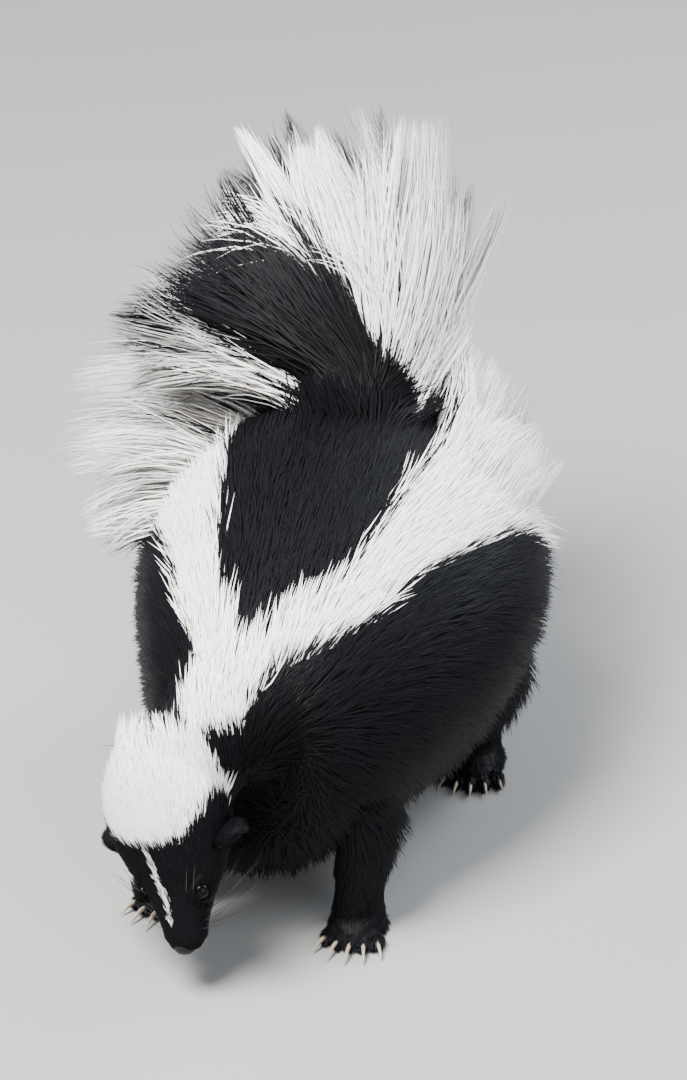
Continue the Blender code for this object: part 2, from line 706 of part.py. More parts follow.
def paw(sizes, side):
    """A flat-soled paw with five toes and their claws, flat too where the leg meets it."""
    x, y, ankle_wide, ankle_deep, sole, heel, reach, claw_length, splay = sizes
    turn = Matrix.Rotation(math.radians(splay * side), 3, "Z")
    at = Vector((across_at(x, y, side), y, 0))
    ahead, left = turn @ Vector((0, -1, 0)), turn @ ACROSS
    rings = []
    middle = (reach - heel) * PAD_MIDDLE
    long = (reach + heel) / 2
    for z, share in PAD_SHAPE:
        centre = at + ahead * middle + UP * z
        deep = long * share
        rings.append(ring(centre, left, -ahead, sole * share, deep, deep, LIMB_SIDES, HEAD_SQUARE))
    for forward, z, share in (PAD_NECK, (0, ANKLE - GAP, 1)):
        centre = at + ahead * forward + UP * z
        wide = ankle_wide * share
        rings.append(ring(centre, ACROSS, ALONG, wide, ankle_deep, ankle_deep, LIMB_SIDES, LEG_SQUARE))
    pad = loft("paw", rings)
    tools = []
    forward, back, wide = TOE_SET
    for i in range(TOES):
        out = (i - (TOES - 1) / 2) / ((TOES - 1) / 2)
        way = (ahead + left * out * TOE_SPREAD).normalized()
        base = at + ahead * reach * (forward - back * out * out) + left * sole * out * wide
        base += UP * TOE_RADIUS
        axes = Matrix((way.cross(UP), way, UP)).transposed()
        tools.append(ball("toe", base, [TOE_RADIUS * share for share in TOE_SHAPE], axes, 7, 4))
        claw_root = base + way * TOE_RADIUS * CLAW_AT + UP * CLAW_HEIGHT
        tools.append(claw(claw_root, way, claw_length * (1 - OUTER_CLAW * out * out)))
    boolean(pad, tools, "UNION")
    return boolean(pad, [box("floor", (-FAR, -FAR, -FAR), (FAR, FAR, SOLE_CUT))], "DIFFERENCE")


def ear(side):
    """A short rounded ear: a bowl leaning out from the crown, its mouth forward and out."""
    lean, face = math.radians(EAR_LEAN), math.radians(EAR_FACE)
    tall = head_way(-EAR_BACK, side * math.sin(lean), math.cos(lean)).normalized()
    out = head_way(0, side * math.cos(lean), -math.sin(lean))
    front = HEAD_FORWARD * math.cos(face) + out * math.sin(face)
    front = (front - tall * front.dot(tall)).normalized()
    frame = Matrix((front.cross(tall), front, tall)).transposed()
    at = on_head(EAR_AT, side * EAR_OUT, EAR_RISE)
    bowl = ball("ear", at, EAR_SIZE, frame, 12, 9)
    inside = [size - EAR_WALL for size in EAR_SIZE]
    hollow = ball("hollow", at + front * EAR_SIZE[1] * EAR_DEEP, inside, frame, 10, 8)
    return boolean(bowl, [hollow], "DIFFERENCE")


def tube(name, points, radius, sides=5):
    rings = []
    for i, point in enumerate(points):
        along = (points[min(i + 1, len(points) - 1)] - points[max(i - 1, 0)]).normalized()
        side = along.cross(HEAD_UP).normalized()
        rings.append(ring(point, side, side.cross(along), radius, radius, radius, sides, 2))
    return loft(name, rings)


def on_surface(thing, point):
    return thing.closest_point_on_mesh(point)[1]


def mouth(head, drop):
    """The line of the mouth, from one corner round under the nose to the other."""
    points = []
    for i in range(-MOUTH_STEPS, MOUTH_STEPS + 1):
        share = abs(i) / MOUTH_STEPS
        along = MOUTH_FRONT + (MOUTH_BACK - MOUTH_FRONT) * share**MOUTH_CURVE
        half_width, _, jaw = between(HEAD, along)
        out = half_width * math.sin(math.pi / 2 * min(1, share * MOUTH_WIDEN))
        points.append(on_surface(head, on_head(along, math.copysign(out, i), -jaw * MOUTH_LOW - drop)))
    return points


def face(head):
    """Adds lids, lips, the mouth's line and the sockets of eyes and nose to the head."""
    axes = head_axes()
    eyes, lids = {}, []
    for word, side in (("left", 1), ("right", -1)):
        at = on_head(EYE_AT, side * EYE_OUT, EYE_RISE)
        out = head_way(EYE_AHEAD, side, EYE_UP).normalized()
        eyes[f"eye_{word}"] = ball("eye", at, (EYE_RADIUS,) * 3)
        bpy.ops.mesh.primitive_torus_add(
            major_radius=EYE_RADIUS - 0.0001,
            minor_radius=LID_RADIUS,
            major_segments=14,
            minor_segments=5,
            location=at + out * LID_OUT,
            rotation=out.to_track_quat("Z", "Y").to_euler(),
        )
        lids.append(bpy.context.object)
    lips = tube("lips", mouth(head, -LIP * 0.9), LIP)
    line = tube("line", mouth(head, 0.0), MOUTH_LINE)
    boolean(head, [*lids, lips], "UNION")
    nose = ball("nose", on_head(NOSE_AT, 0, NOSE_RISE), NOSE_SIZE, axes)
    nostrils = []
    for side in (1, -1):
        at = on_head(NOSE_AT + NOSE_SIZE[1] * 0.8, side * NOSE_SIZE[0] * 0.5, NOSTRIL_RISE)
        nostrils.append(ball("nostril", at, NOSTRIL, axes, 8, 6))
    boolean(head, [line], "DIFFERENCE")
    boolean(head, [copied(eye, GAP) for eye in eyes.values()] + [copied(nose, GAP)], "DIFFERENCE")
    boolean(nose, nostrils, "DIFFERENCE")
    return {**eyes, "nose": nose}


def part_body(body):
    """Cuts the blended body into legs, head, neck and torso, a gap apart."""
    parts = {}
    for name, low_y, high_y in LEG_SPACES:
        for word, side in (("left", 1), ("right", -1)):
            leg = boolean(copied(body), [leg_block(side, low_y, high_y, 0)], "INTERSECT")
            floor = box("floor", (-FAR, -FAR, -FAR), (FAR, FAR, ANKLE))
            parts[f"{name}_{word}"] = boolean(leg, [floor], "DIFFERENCE")
            boolean(body, [leg_block(side, low_y, high_y, GAP)], "DIFFERENCE")
    turn = math.radians(NECK_CUT_TURN)
    ahead = Vector((0, -math.cos(turn), -math.sin(turn)))
    parts["head"] = boolean(copied(body), [head_block(0)], "INTERSECT")
    boolean(body, [head_block(GAP)], "DIFFERENCE")
    parts["neck"] = boolean(copied(body), [plane_block(NECK_CUT_AT, -ahead, -GAP / 2)], "DIFFERENCE")
    parts["torso"] = boolean(body, [plane_block(NECK_CUT_AT, ahead, -GAP / 2)], "DIFFERENCE")
    return parts


def main():
    clear_scene()
    model = collection("striped_skunk")
    black = material("black_coat", BLACK, 0.75)
    material("white_coat", WHITE, 0.8)
    finishes = {"eye": material("eye", EYE_BLACK, 0.15), "nose": material("nose", NOSE_GREY, 0.4)}
    parts = part_body(flesh())
    for name in ("torso", "neck", "head"):
        paint(parts[name])
    for name, sizes in (("forepaw", FOREPAW), ("hind_paw", HIND_PAW)):
        for word, side in (("left", 1), ("right", -1)):
            parts[f"{name}_{word}"] = paw(sizes, side)
    parts.update(face(parts["head"]))
    for word, side in (("left", 1), ("right", -1)):
        parts[f"ear_{word}"] = carve_clear(ear(side), parts["head"])
    parts["tail"] = carve_clear(tail(), parts["torso"])
    near = [parts[name] for name in ("tail", "hind_leg_left", "hind_leg_right")]
    boolean(parts["torso"], rump_locks(parts["torso"], near), "UNION")
    for name, thing in parts.items():
        thing.name = name
        if not thing.data.materials:
            thing.data.materials.append(finishes.get(name.split("_")[0], black))
        for home in list(thing.users_collection):
            home.objects.unlink(thing)
        model.objects.link(thing)
    stand_on_origin(parts.values())


def stand_on_origin(things):
    """Moves the model so that the origin is under the middle of its box, on the floor."""
    corners = [v.co for thing in things for v in thing.data.vertices]
    low, high = (Vector(pick(c[i] for c in corners) for i in range(3)) for pick in (min, max))
    shift = Matrix.Translation(-Vector(((low.x + high.x) / 2, (low.y + high.y) / 2, low.z)))
    for thing in things:
        thing.data.transform(shift)


main()
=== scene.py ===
"""Looks of a life-size striped skunk: skin, a coat of fine tufts, long tail hair, face, ears and claws.

Places are in the skunk's own frame, in metres, with its nose towards -Y and its left side towards +X.
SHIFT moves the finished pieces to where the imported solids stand.
"""

import math

import bmesh
import bpy
import numpy as np
from mathutils import Matrix, Vector
from mathutils.kdtree import KDTree


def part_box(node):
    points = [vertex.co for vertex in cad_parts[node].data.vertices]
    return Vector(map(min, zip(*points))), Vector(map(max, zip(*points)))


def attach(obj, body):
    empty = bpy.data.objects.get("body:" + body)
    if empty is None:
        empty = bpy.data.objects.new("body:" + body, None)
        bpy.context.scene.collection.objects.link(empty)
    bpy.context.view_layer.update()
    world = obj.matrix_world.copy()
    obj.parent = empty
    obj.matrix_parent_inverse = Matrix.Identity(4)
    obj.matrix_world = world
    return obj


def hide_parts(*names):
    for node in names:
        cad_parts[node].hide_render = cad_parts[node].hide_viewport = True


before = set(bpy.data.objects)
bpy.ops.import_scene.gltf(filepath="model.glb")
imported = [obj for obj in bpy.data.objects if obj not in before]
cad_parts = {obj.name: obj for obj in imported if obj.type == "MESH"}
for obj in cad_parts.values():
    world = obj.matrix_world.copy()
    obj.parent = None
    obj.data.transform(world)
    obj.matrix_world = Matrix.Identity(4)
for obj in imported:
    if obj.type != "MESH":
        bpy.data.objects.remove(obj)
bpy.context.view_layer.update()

ACROSS = Vector((1, 0, 0))
ALONG = Vector((0, 1, 0))
UP = Vector((0, 0, 1))
SIDES = (("left", 1), ("right", -1))
LIMBS = ("foreleg", "hind_leg", "forepaw", "hind_paw")

# The coat's outer surface along the trunk:
# (X, Y, middle Z, half width, rise above the middle, drop below it)
TRUNK = (
    (0.000, 0.150, 0.112, 0.024, 0.026, 0.028),
    (0.000, 0.134, 0.112, 0.062, 0.050, 0.062),
    (0.001, 0.100, 0.110, 0.090, 0.070, 0.078),
    (0.003, 0.050, 0.108, 0.100, 0.080, 0.082),
    (0.007, 0.000, 0.104, 0.091, 0.076, 0.078),
    (0.008, -0.050, 0.098, 0.072, 0.068, 0.072),
    (0.006, -0.084, 0.096, 0.052, 0.056, 0.066),
    (0.003, -0.098, 0.098, 0.036, 0.038, 0.050),
)
# (centre, half width, rise, drop, degrees that the section looks down)
NECK = (
    (0.006, -0.070, 0.100, 0.050, 0.054, 0.058, 0),
    (-0.006, -0.094, 0.102, 0.040, 0.040, 0.046, 20),
    (-0.019, -0.110, 0.096, 0.034, 0.029, 0.028, 45),
    (-0.022, -0.123, 0.079, 0.030, 0.020, 0.024, 64),
)
# (centre, half width, half depth) down the left leg, the right one mirrored
FORELEG = (
    (0.036, -0.054, 0.092, 0.020, 0.032),
    (0.043, -0.058, 0.068, 0.021, 0.029),
    (0.045, -0.064, 0.045, 0.0165, 0.020),
    (0.044, -0.067, 0.026, 0.0125, 0.0145),
    (0.043, -0.068, 0.010, 0.0120, 0.0140),
)
HIND_LEG = (
    (0.060, 0.056, 0.105, 0.032, 0.052),
    (0.066, 0.058, 0.075, 0.029, 0.045),
    (0.065, 0.072, 0.046, 0.0185, 0.026),
    (0.061, 0.084, 0.026, 0.0135, 0.0165),
    (0.060, 0.087, 0.010, 0.0130, 0.0160),
)
FORELEGS_LEFT = 0.005  # how far the forelegs stand left of the hind ones
# The tail's core: (centre, radius)
TAIL = (
    (0.000, 0.092, 0.158, 0.027),
    (0.000, 0.104, 0.184, 0.024),
    (-0.010, 0.116, 0.202, 0.020),
    (-0.025, 0.132, 0.213, 0.016),
    (-0.040, 0.145, 0.216, 0.011),
    (-0.047, 0.151, 0.216, 0.005),
)
# A paw: (ankle's X and Y, its half width and depth, the sole's half width, how far the heel lies behind
# the ankle and the toes before it, claw length, degrees that it turns outwards)
FOREPAW = (0.0435, -0.0677, 0.0126, 0.0146, 0.0130, 0.0120, 0.0200, 0.0125, 6)
HIND_PAW = (0.0602, 0.0865, 0.0136, 0.0167, 0.0140, 0.0180, 0.0300, 0.0085, 12)
ANKLE = 0.0165  # height of a paw's top
SOLE = 0.0008  # height of the flats that it stands on
PAD_SHAPE = ((SOLE, 0.86), (0.0035, 0.97), (0.0085, 0.83))  # (height, share of the sole)
PAD_TOP = ((0.0125, 0.95), (ANKLE, 0.8))  # (height, share of the ankle)
PAD_MIDDLE = 0.9  # of the way that the toes reach further than the heel
TOES = 5
TOE_SPREAD = 0.42  # how far the outer toes point outwards
TOE_SET = (0.86, 0.16, 0.74)  # shares of the reach ahead, of what outer toes lack of it, of the sole
TOE_RADIUS = 0.0036
TOE_SHAPE = (1, 2.0, 1.05)  # sideways, along and up
CLAW_RADIUS = 0.0013
# (share of its length, share of its radius)
CLAW_SHAPE = ((-0.3, 1), (0, 1), (0.35, 0.85), (0.6, 0.66), (0.82, 0.40), (0.95, 0.18), (1, 0.06))
CLAW_SECTION = (0.8, 1.15, 1)  # sideways, up and down
CLAW_LIFT, CLAW_BEND = 0.10, 0.34  # how far a claw starts upwards and bends down, as shares of its length
CLAW_AT = 1.6  # toe radii ahead of the toe's middle
CLAW_HEIGHT = 0.0006  # above it
OUTER_CLAW = 0.18  # how much shorter the outer claws are

# The head's own frame: its origin inside the back of the skull, its axis running down to the nose.
HEAD_AT = Vector((-0.0310, -0.1115, 0.1022))
HEAD_FORWARD = Vector((0.27, -0.38, -0.925)).normalized()
HEAD_UP = Vector((-0.425, -0.831, 0.341))
HEAD_RIGHT = HEAD_FORWARD.cross(HEAD_UP).normalized()
HEAD_CROWN = HEAD_RIGHT.cross(HEAD_FORWARD)
# (distance from the back of the skull, half width, crown above the axis, jaw below it, depth of the coat)
HEAD = (
    (-0.006, 0.026, 0.016, 0.020, 0.0060),
    (0.010, 0.0315, 0.0225, 0.025, 0.0050),
    (0.026, 0.0345, 0.0220, 0.025, 0.0040),
    (0.040, 0.0312, 0.0185, 0.022, 0.0028),
    (0.053, 0.0245, 0.0130, 0.0175, 0.0014),
    (0.064, 0.0175, 0.0090, 0.0135, 0.0009),
    (0.075, 0.0120, 0.0075, 0.0110, 0.0006),
    (0.083, 0.0100, 0.0062, 0.0085, 0.0004),
    (0.087, 0.0070, 0.0045, 0.0050, 0.0003),
)
EYE_RADIUS = 0.0042
EYE_AT, EYE_OUT, EYE_RISE = 0.0600, 0.0168, 0.0036
EYE_AHEAD, EYE_UP = 0.35, 0.30  # how far it looks ahead and up, against how far it looks out
CORNEA, CORNEA_RISE = 0.72, 0.09  # the cosine where the cornea starts, and its rise in eye radii
EAR_AT, EAR_OUT, EAR_RISE = 0.0370, 0.0300, -0.0040
EAR_SIZE = (0.0085, 0.0045, 0.0110)  # half its width, depth and height
EAR_LEAN, EAR_FACE = 84, 30  # degrees that it leans out from the crown, and that its cup turns outwards
EAR_BACK = 0.15  # how far it leans back
EAR_INSET, EAR_HOLLOW = 0.0006, 0.0018  # how much smaller its outer and its inner wall are than its hair
EAR_DEEP = 0.75  # of its half depth that the hollow's middle lies ahead
EAR_CELL = 0.00045  # the cell that rounds its rim
EAR_CUP = 0.25  # the least cosine to its front inside the cup
EAR_HAIRS = (2.2e6, 6.0e6)  # to the square metre in the cup and outside it
EAR_HAIR = (0.00016, 0.05)  # least width of a hair, and how much wider for its length
EAR_LIE = (0.0050, 20.0)  # length of a hair, and the degrees that it lifts
EAR_WAY = (0.9, 0.1, 0.3)  # how far it points up the ear, to its back and back over the head
NOSE_AT = 0.0850
NOSE_RISE = 0.0006
NOSE_SIZE = (0.0056, 0.0042, 0.0046)
NOSE_CELL = 0.00022  # the cell that rounds its holes
NOSTRIL = 0.0014
# Its holes: (shares of the nose's width and depth, rise, shares of NOSTRIL wide, deep and high)
NOSTRIL_SHAPES = ((0.50, 0.80, 0.0004, 1.0, 1.3, 0.85), (0.80, 0.55, -0.0002, 1.3, 0.9, 0.42))
GROOVE_AT = (0.98, 0.45)  # of the nose's depth, and of its height below the middle
GROOVE = (0.00035, 0.0009, 0.6)  # half its width and depth, and its share of the nose's height
MOUTH_BACK, MOUTH_FRONT, MOUTH_LOW = 0.062, 0.0835, 0.45  # along the head, and its share of the jaw
MOUTH_STEPS = 9
MOUTH_CURVE = 1.5  # how long the line stays in front
MOUTH_WIDEN = 1.6  # how soon the line reaches the muzzle's side
MOUTH_SINK, MOUTH_LINE = 0.0001, 0.00055  # how deep the line lies in the skin, and its radius
LID_RADIUS = 0.0013
LID_OUT = 0.0013  # from the eye's middle

# The white stripes: (Y, degrees from their middle to the inner edge, to the outer edge,
# degrees that the middle lies left of the top)
STRIPES = (
    (-0.110, 0, 26, -14),
    (-0.090, 0, 24, -11),
    (-0.075, 9, 34, -7),
    (-0.055, 23, 43, -7),
    (-0.035, 28, 47, -7),
    (-0.010, 31, 53, -7),
    (0.020, 33, 63, -7),
    (0.050, 37, 73, -7),
    (0.080, 43, 82, -7),
    (0.100, 31, 81, -4),
    (0.120, 22, 85, -7),
    (0.160, 20, 85, -7),
)
CAP = (0.0402, 0.0308)  # the white cap's front edge along the head, and half its width
BLAZE = (0.076, 0.0007)  # the same for the thin blaze ahead of it
CAP_MIDDLE = 0.0002  # how far left of the head's middle the cap's middle is
CAP_SQUARE = 3.0  # how far its corners fill out, from 2 for a round one
CAP_BACK = -0.006  # behind this, the neck's stripes go on
CAP_LOW = -0.010  # the sides of the head are black below this, from its axis

# Coat depth over the skin
TRUNK_COAT = 0.0080
NECK_COAT = 0.0065
LEG_COAT = (0.0080, 0.0070, 0.0040, 0.0020, 0.0012)  # down the leg
TAIL_COAT = 0.0030

# Lie of the short coat: (place, direction, length, degrees that it lifts)
# Places off the middle are mirrored.
OFF_MIDDLE = 0.01
LIE = (
    ((0.000, -0.084, 0.152), (0.0, 0.80, 0.45), 0.018, 14),
    ((0.004, -0.050, 0.166), (0.0, 1.00, 0.15), 0.022, 12),
    ((0.007, 0.000, 0.180), (0.0, 1.00, 0.08), 0.026, 12),
    ((0.003, 0.050, 0.188), (0.0, 1.00, 0.10), 0.028, 13),
    ((0.001, 0.076, 0.190), (0.0, 0.60, 0.80), 0.030, 16),
    ((0.040, 0.080, 0.178), (0.2, 0.80, 0.50), 0.030, 18),
    ((0.070, 0.040, 0.160), (0.15, 0.90, -0.15), 0.029, 14),
    ((0.064, 0.000, 0.155), (0.15, 0.95, -0.20), 0.026, 12),
    ((0.050, -0.050, 0.145), (0.10, 0.95, -0.15), 0.022, 12),
    ((0.030, -0.084, 0.130), (0.10, 0.85, 0.10), 0.018, 12),
    ((0.048, -0.084, 0.096), (0.10, 0.80, -0.45), 0.018, 12),
    ((0.072, -0.050, 0.095), (0.05, 0.75, -0.60), 0.022, 12),
    ((0.091, 0.000, 0.104), (0.00, 0.75, -0.62), 0.026, 12),
    ((0.100, 0.050, 0.108), (0.00, 0.78, -0.62), 0.029, 13),
    ((0.088, 0.100, 0.110), (0.00, 0.70, -0.72), 0.032, 16),
    ((0.055, 0.134, 0.115), (-0.10, 0.60, -0.80), 0.032, 18),
    ((0.000, 0.148, 0.112), (0.0, 0.40, -0.92), 0.030, 16),
    ((0.070, 0.000, 0.055), (-0.05, 0.50, -0.86), 0.038, 20),
    ((0.075, 0.060, 0.055), (-0.05, 0.45, -0.88), 0.038, 20),
    ((0.045, -0.060, 0.060), (0.00, 0.20, -0.97), 0.026, 16),
    ((0.000, -0.080, 0.056), (0.0, 0.35, -0.93), 0.030, 22),
    ((0.020, -0.060, 0.046), (0.0, 0.35, -0.93), 0.034, 28),
    ((0.000, 0.000, 0.042), (0.0, 0.80, -0.60), 0.026, 20),
    ((0.030, 0.030, 0.042), (0.0, 0.70, -0.70), 0.028, 24),
    ((0.000, 0.080, 0.045), (0.0, 0.80, -0.60), 0.026, 18),
    ((0.045, -0.064, 0.044), (0.0, 0.20, -0.98), 0.012, 10),
    ((0.044, -0.067, 0.024), (0.0, 0.05, -1.00), 0.0075, 9),
    ((0.044, -0.080, 0.010), (0.05, -0.95, -0.25), 0.0050, 10),
    ((0.065, 0.070, 0.046), (0.0, 0.35, -0.94), 0.014, 11),
    ((0.061, 0.084, 0.024), (0.0, 0.05, -1.00), 0.0085, 9),
    ((0.062, 0.066, 0.010), (0.10, -0.95, -0.25), 0.0052, 10),
)
# The same on the head, in its own frame: (along, out, rise), (along, out, rise)
HEAD_LIE = (
    ((0.084, 0.000, 0.006), (-1.0, 0.0, 0.25), 0.0026, 20),
    ((0.072, 0.000, 0.008), (-1.0, 0.0, 0.15), 0.0034, 18),
    ((0.058, 0.000, 0.012), (-1.0, 0.1, 0.35), 0.0048, 17),
    ((0.040, 0.000, 0.019), (-1.0, 0.0, 0.30), 0.0080, 16),
    ((0.018, 0.000, 0.023), (-1.0, 0.0, 0.10), 0.0120, 18),
    ((0.018, 0.022, 0.012), (-0.95, 0.15, 0.10), 0.0125, 20),
    ((-0.004, 0.010, 0.020), (-1.0, 0.1, 0.10), 0.0150, 16),
    ((0.080, 0.009, 0.000), (-0.9, 0.3, -0.20), 0.0026, 19),
    ((0.066, 0.013, -0.004), (-0.9, 0.4, -0.25), 0.0040, 18),
    ((0.052, 0.020, -0.004), (-0.9, 0.4, -0.10), 0.0062, 17),
    ((0.036, 0.030, -0.006), (-0.9, 0.35, -0.10), 0.0100, 16),
    ((0.012, 0.032, -0.004), (-1.0, -0.25, 0.05), 0.0110, 14),
    ((0.076, 0.000, -0.010), (-1.0, 0.0, -0.15), 0.0032, 16),
    ((0.050, 0.000, -0.018), (-1.0, 0.0, -0.20), 0.0070, 12),
    ((0.020, 0.000, -0.025), (-1.0, 0.0, -0.10), 0.0120, 12),
)
LIE_REACH = 0.012  # within this distance of its place a guide has its full say

# Guide hairs of the long coat on tail and rump:
# (root, direction, length, how far it sags as a share of its length, whether it is white)
GUIDES = (
    ((0.001, 0.113, 0.218), (-0.25, 0.45, 0.86), 0.097, 0.04, 1),
    ((0.007, 0.112, 0.211), (-0.18, 0.46, 0.87), 0.120, 0.04, 1),
    ((0.015, 0.113, 0.203), (-0.11, 0.48, 0.87), 0.129, 0.04, 1),
    ((0.021, 0.111, 0.194), (-0.02, 0.52, 0.86), 0.114, 0.04, 1),
    ((0.024, 0.107, 0.187), (0.21, 0.57, 0.80), 0.106, 0.05, 1),
    ((0.029, 0.106, 0.178), (0.16, 0.64, 0.75), 0.082, 0.05, 1),
    ((0.010, 0.132, 0.194), (-0.21, 0.80, 0.56), 0.130, 0.06, 1),
    ((-0.012, 0.138, 0.212), (-0.31, 0.73, 0.61), 0.106, 0.05, 1),
    ((-0.040, 0.156, 0.222), (-0.51, 0.34, 0.79), 0.075, 0.05, 1),
    ((-0.018, 0.134, 0.227), (-0.39, 0.40, 0.83), 0.069, 0.04, 1),
    ((-0.024, 0.116, 0.196), (-0.77, -0.54, 0.32), 0.136, 0.26, 1),
    ((-0.030, 0.112, 0.184), (-0.74, -0.54, 0.38), 0.144, 0.29, 1),
    ((-0.030, 0.130, 0.224), (-0.90, -0.05, 0.40), 0.060, 0.05, 0),
    ((0.000, 0.078, 0.185), (-0.51, 0.45, 0.73), 0.038, 0.05, 0),
    ((0.021, 0.086, 0.184), (0.67, 0.65, 0.36), 0.028, 0.10, 0),
    ((-0.018, 0.080, 0.182), (-0.43, 0.49, 0.76), 0.033, 0.05, 0),
    ((0.002, 0.098, 0.211), (-0.66, 0.27, 0.70), 0.074, 0.03, 0),
    ((-0.010, 0.103, 0.216), (-0.78, 0.19, 0.59), 0.074, 0.04, 0),
    ((-0.008, 0.090, 0.203), (-0.69, -0.19, 0.70), 0.096, 0.04, 0),
    ((-0.022, 0.104, 0.212), (-0.82, -0.33, 0.48), 0.091, 0.05, 0),
    ((-0.021, 0.097, 0.200), (-0.82, -0.34, 0.45), 0.104, 0.06, 0),
    ((-0.023, 0.093, 0.190), (-0.81, -0.32, 0.48), 0.094, 0.08, 0),
    ((-0.044, 0.140, 0.220), (-0.94, 0.03, 0.34), 0.062, 0.06, 0),
    ((-0.006, 0.126, 0.172), (-0.10, 0.92, -0.30), 0.060, 0.15, 0),
    ((0.040, 0.105, 0.176), (0.25, 0.55, 0.79), 0.034, 0.06, 1),
    ((-0.036, 0.098, 0.173), (-0.72, -0.25, 0.65), 0.075, 0.12, 1),
    ((0.066, 0.098, 0.160), (0.45, 0.62, 0.64), 0.030, 0.05, 1),
    ((-0.045, 0.100, 0.172), (-0.81, -0.35, 0.47), 0.138, 0.26, 1),
    ((-0.068, 0.090, 0.158), (-0.85, -0.40, 0.35), 0.089, 0.26, 1),
    ((-0.080, 0.078, 0.143), (-0.86, -0.50, 0.11), 0.054, 0.22, 1),
    ((-0.092, 0.058, 0.124), (-0.70, 0.10, -0.60), 0.034, 0.10, 1),
    ((0.000, 0.148, 0.125), (0.00, 0.75, -0.65), 0.036, 0.10, 0),
)
GUIDE_REACH = 0.008
# The tail is black up its front, where its skin faces near a direction that turns between two heights,
# round below towards its end, and low down its back.
BAND_HEIGHTS = (0.188, 0.206)
BAND_WAYS = ((0.00, -0.97, 0.20), (-0.68, -0.66, 0.30))
BAND_SHARE = 0.39  # the least cosine to that direction
END_FROM = -0.014  # X past which the band reaches round below
END_LOW = 0.20
END_SHARE = -0.20
END_HIGH = 0.72  # and above this it is white there
FOOT_TOP, FOOT_BACK = 0.180, -0.45  # its foot is black in front on the skunk's right
BACK_WAY = (0.15, 0.97, -0.20)
BACK_SHARE = 0.88
BACK_TOP = 0.195
RUMP_GUIDES = 8  # how many of the guide hairs, the last ones, stand on the rump
RUMP_BACK = 0.130  # Y past which the rump's long coat covers the black too
RUMP_REACH = 0.034  # the rump has long hair within this distance of one of those guides,
RUMP_LOW = 0.105  # above this height
TAIL_FOOT = 0.166  # height of the core's foot, over which it carries long hair alone
TAIL_SKIN = 1.15  # radii from the core's axis within which the skin is the tail's

VOXEL = 0.0010  # the cell that blends the flesh into one skin
SKIN_RELAX = 5
BODY_SHARE = 0.36  # of the skin's triangles kept behind the face
FACE_FROM, FACE_BACK = 0.045, -0.09  # the face starts here, along the head and along Y
PATCH = 0.003  # a tuft's patch on the bake map
SOFTNESS = 0.6  # how far a tuft is shaded as the skin under it is
LOWEST_HAIR = 0.0005
SEED = 20

rng = np.random.default_rng(SEED)


def head_way(along, out, rise):
    """A direction in the head's frame, with out to its left."""
    return HEAD_FORWARD * along - HEAD_RIGHT * out + HEAD_CROWN * rise


def middle(node):
    low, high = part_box(node)
    return (low + high) / 2


# The solids stand over the origin by their box's middle, which moves them from the skunk's own frame.
SHIFT = middle("eye_left") - (HEAD_AT + head_way(EYE_AT, EYE_OUT, EYE_RISE))


def on_head(along, out, rise):
    return HEAD_AT + head_way(along, out, rise)


# Mesh tools


def deselect():
    bpy.ops.object.select_all(action="DESELECT")


def only(thing):
    """Selects one object and makes it the active one."""
    deselect()
    thing.select_set(True)
    bpy.context.view_layer.objects.active = thing
    return thing


def taken(name):
    """The primitive that was just added, under its own name."""
    thing = bpy.context.object
    thing.name = thing.data.name = name
    return thing


def frame_at(at, axes):
    """The frame at a place, with its axes as three vectors."""
    return Matrix.Translation(at) @ Matrix(axes).transposed().to_4x4()


def placed(thing, at, axes, sizes):
    """Sets a primitive at its place, on axes given as three directions, with its size along each."""
    thing.matrix_world = frame_at(at, [axis * size for axis, size in zip(axes, sizes)])
    return settled(thing)


def settled(thing):
    """Puts an object's place into its mesh."""
    thing.data.transform(thing.matrix_world)
    thing.matrix_world = Matrix.Identity(4)
    return thing


def joined(things, name):
    deselect()
    for thing in things:
        thing.select_set(True)
    bpy.context.view_layer.objects.active = things[0]
    bpy.ops.object.join()
    return taken(name)


def applied(thing, kind, **settings):
    """Adds one modifier and applies it."""
    only(thing)
    step = thing.modifiers.new("step", kind)
    for key, value in settings.items():
        setattr(step, key, value)
    bpy.ops.object.modifier_apply(modifier=step.name)
    return thing


def smooth(thing, degrees):
    only(thing)
    bpy.ops.object.shade_smooth_by_angle(angle=math.radians(degrees))
    return thing


def catmull(a, b, c, d, t):
    squared, cubed = 2 * a - 5 * b + 4 * c - d, 3 * b - a - 3 * c + d
    return 0.5 * (2 * b + (c - a) * t + squared * t**2 + cubed * t**3)


def smooth_rows(stations, between=3):
    """Catmull-Rom rows through the stations, each a tuple of numbers."""
    padded = [stations[0], *stations, stations[-1]]
    found = []
    for i in range(len(stations) - 1):
        for step in range(between):
            found.append([catmull(*values, step / between) for values in zip(*padded[i : i + 4])])
    found.append(list(stations[-1]))
    return found


def section(centre, side, up, half_width, rise, drop):
    """The frame that turns a unit circle into one egg-shaped section of a loft."""
    axes = (side * half_width, up * (rise + drop) / 2, side.cross(up))
    return frame_at(centre + up * (rise - drop) / 2, axes)


def loft(name, sections, sides=32):
    """Extrudes a filled circle from section to section."""
    bpy.ops.mesh.primitive_circle_add(vertices=sides, radius=1, fill_type="NGON")
    thing = settled(taken(name))
    bpy.ops.object.mode_set(mode="EDIT")
    before = Matrix.Identity(4)
    for i, after in enumerate(sections):
        if i:
            bpy.ops.mesh.extrude_region()
        step = after @ before.inverted()
        shape = bmesh.from_edit_mesh(thing.data)
        for vertex in shape.verts:
            if vertex.select:
                vertex.co = step @ vertex.co
        before = after
    bpy.ops.mesh.select_all(action="SELECT")
    bpy.ops.mesh.normals_make_consistent(inside=False)
    bpy.ops.object.mode_set(mode="OBJECT")
    return thing


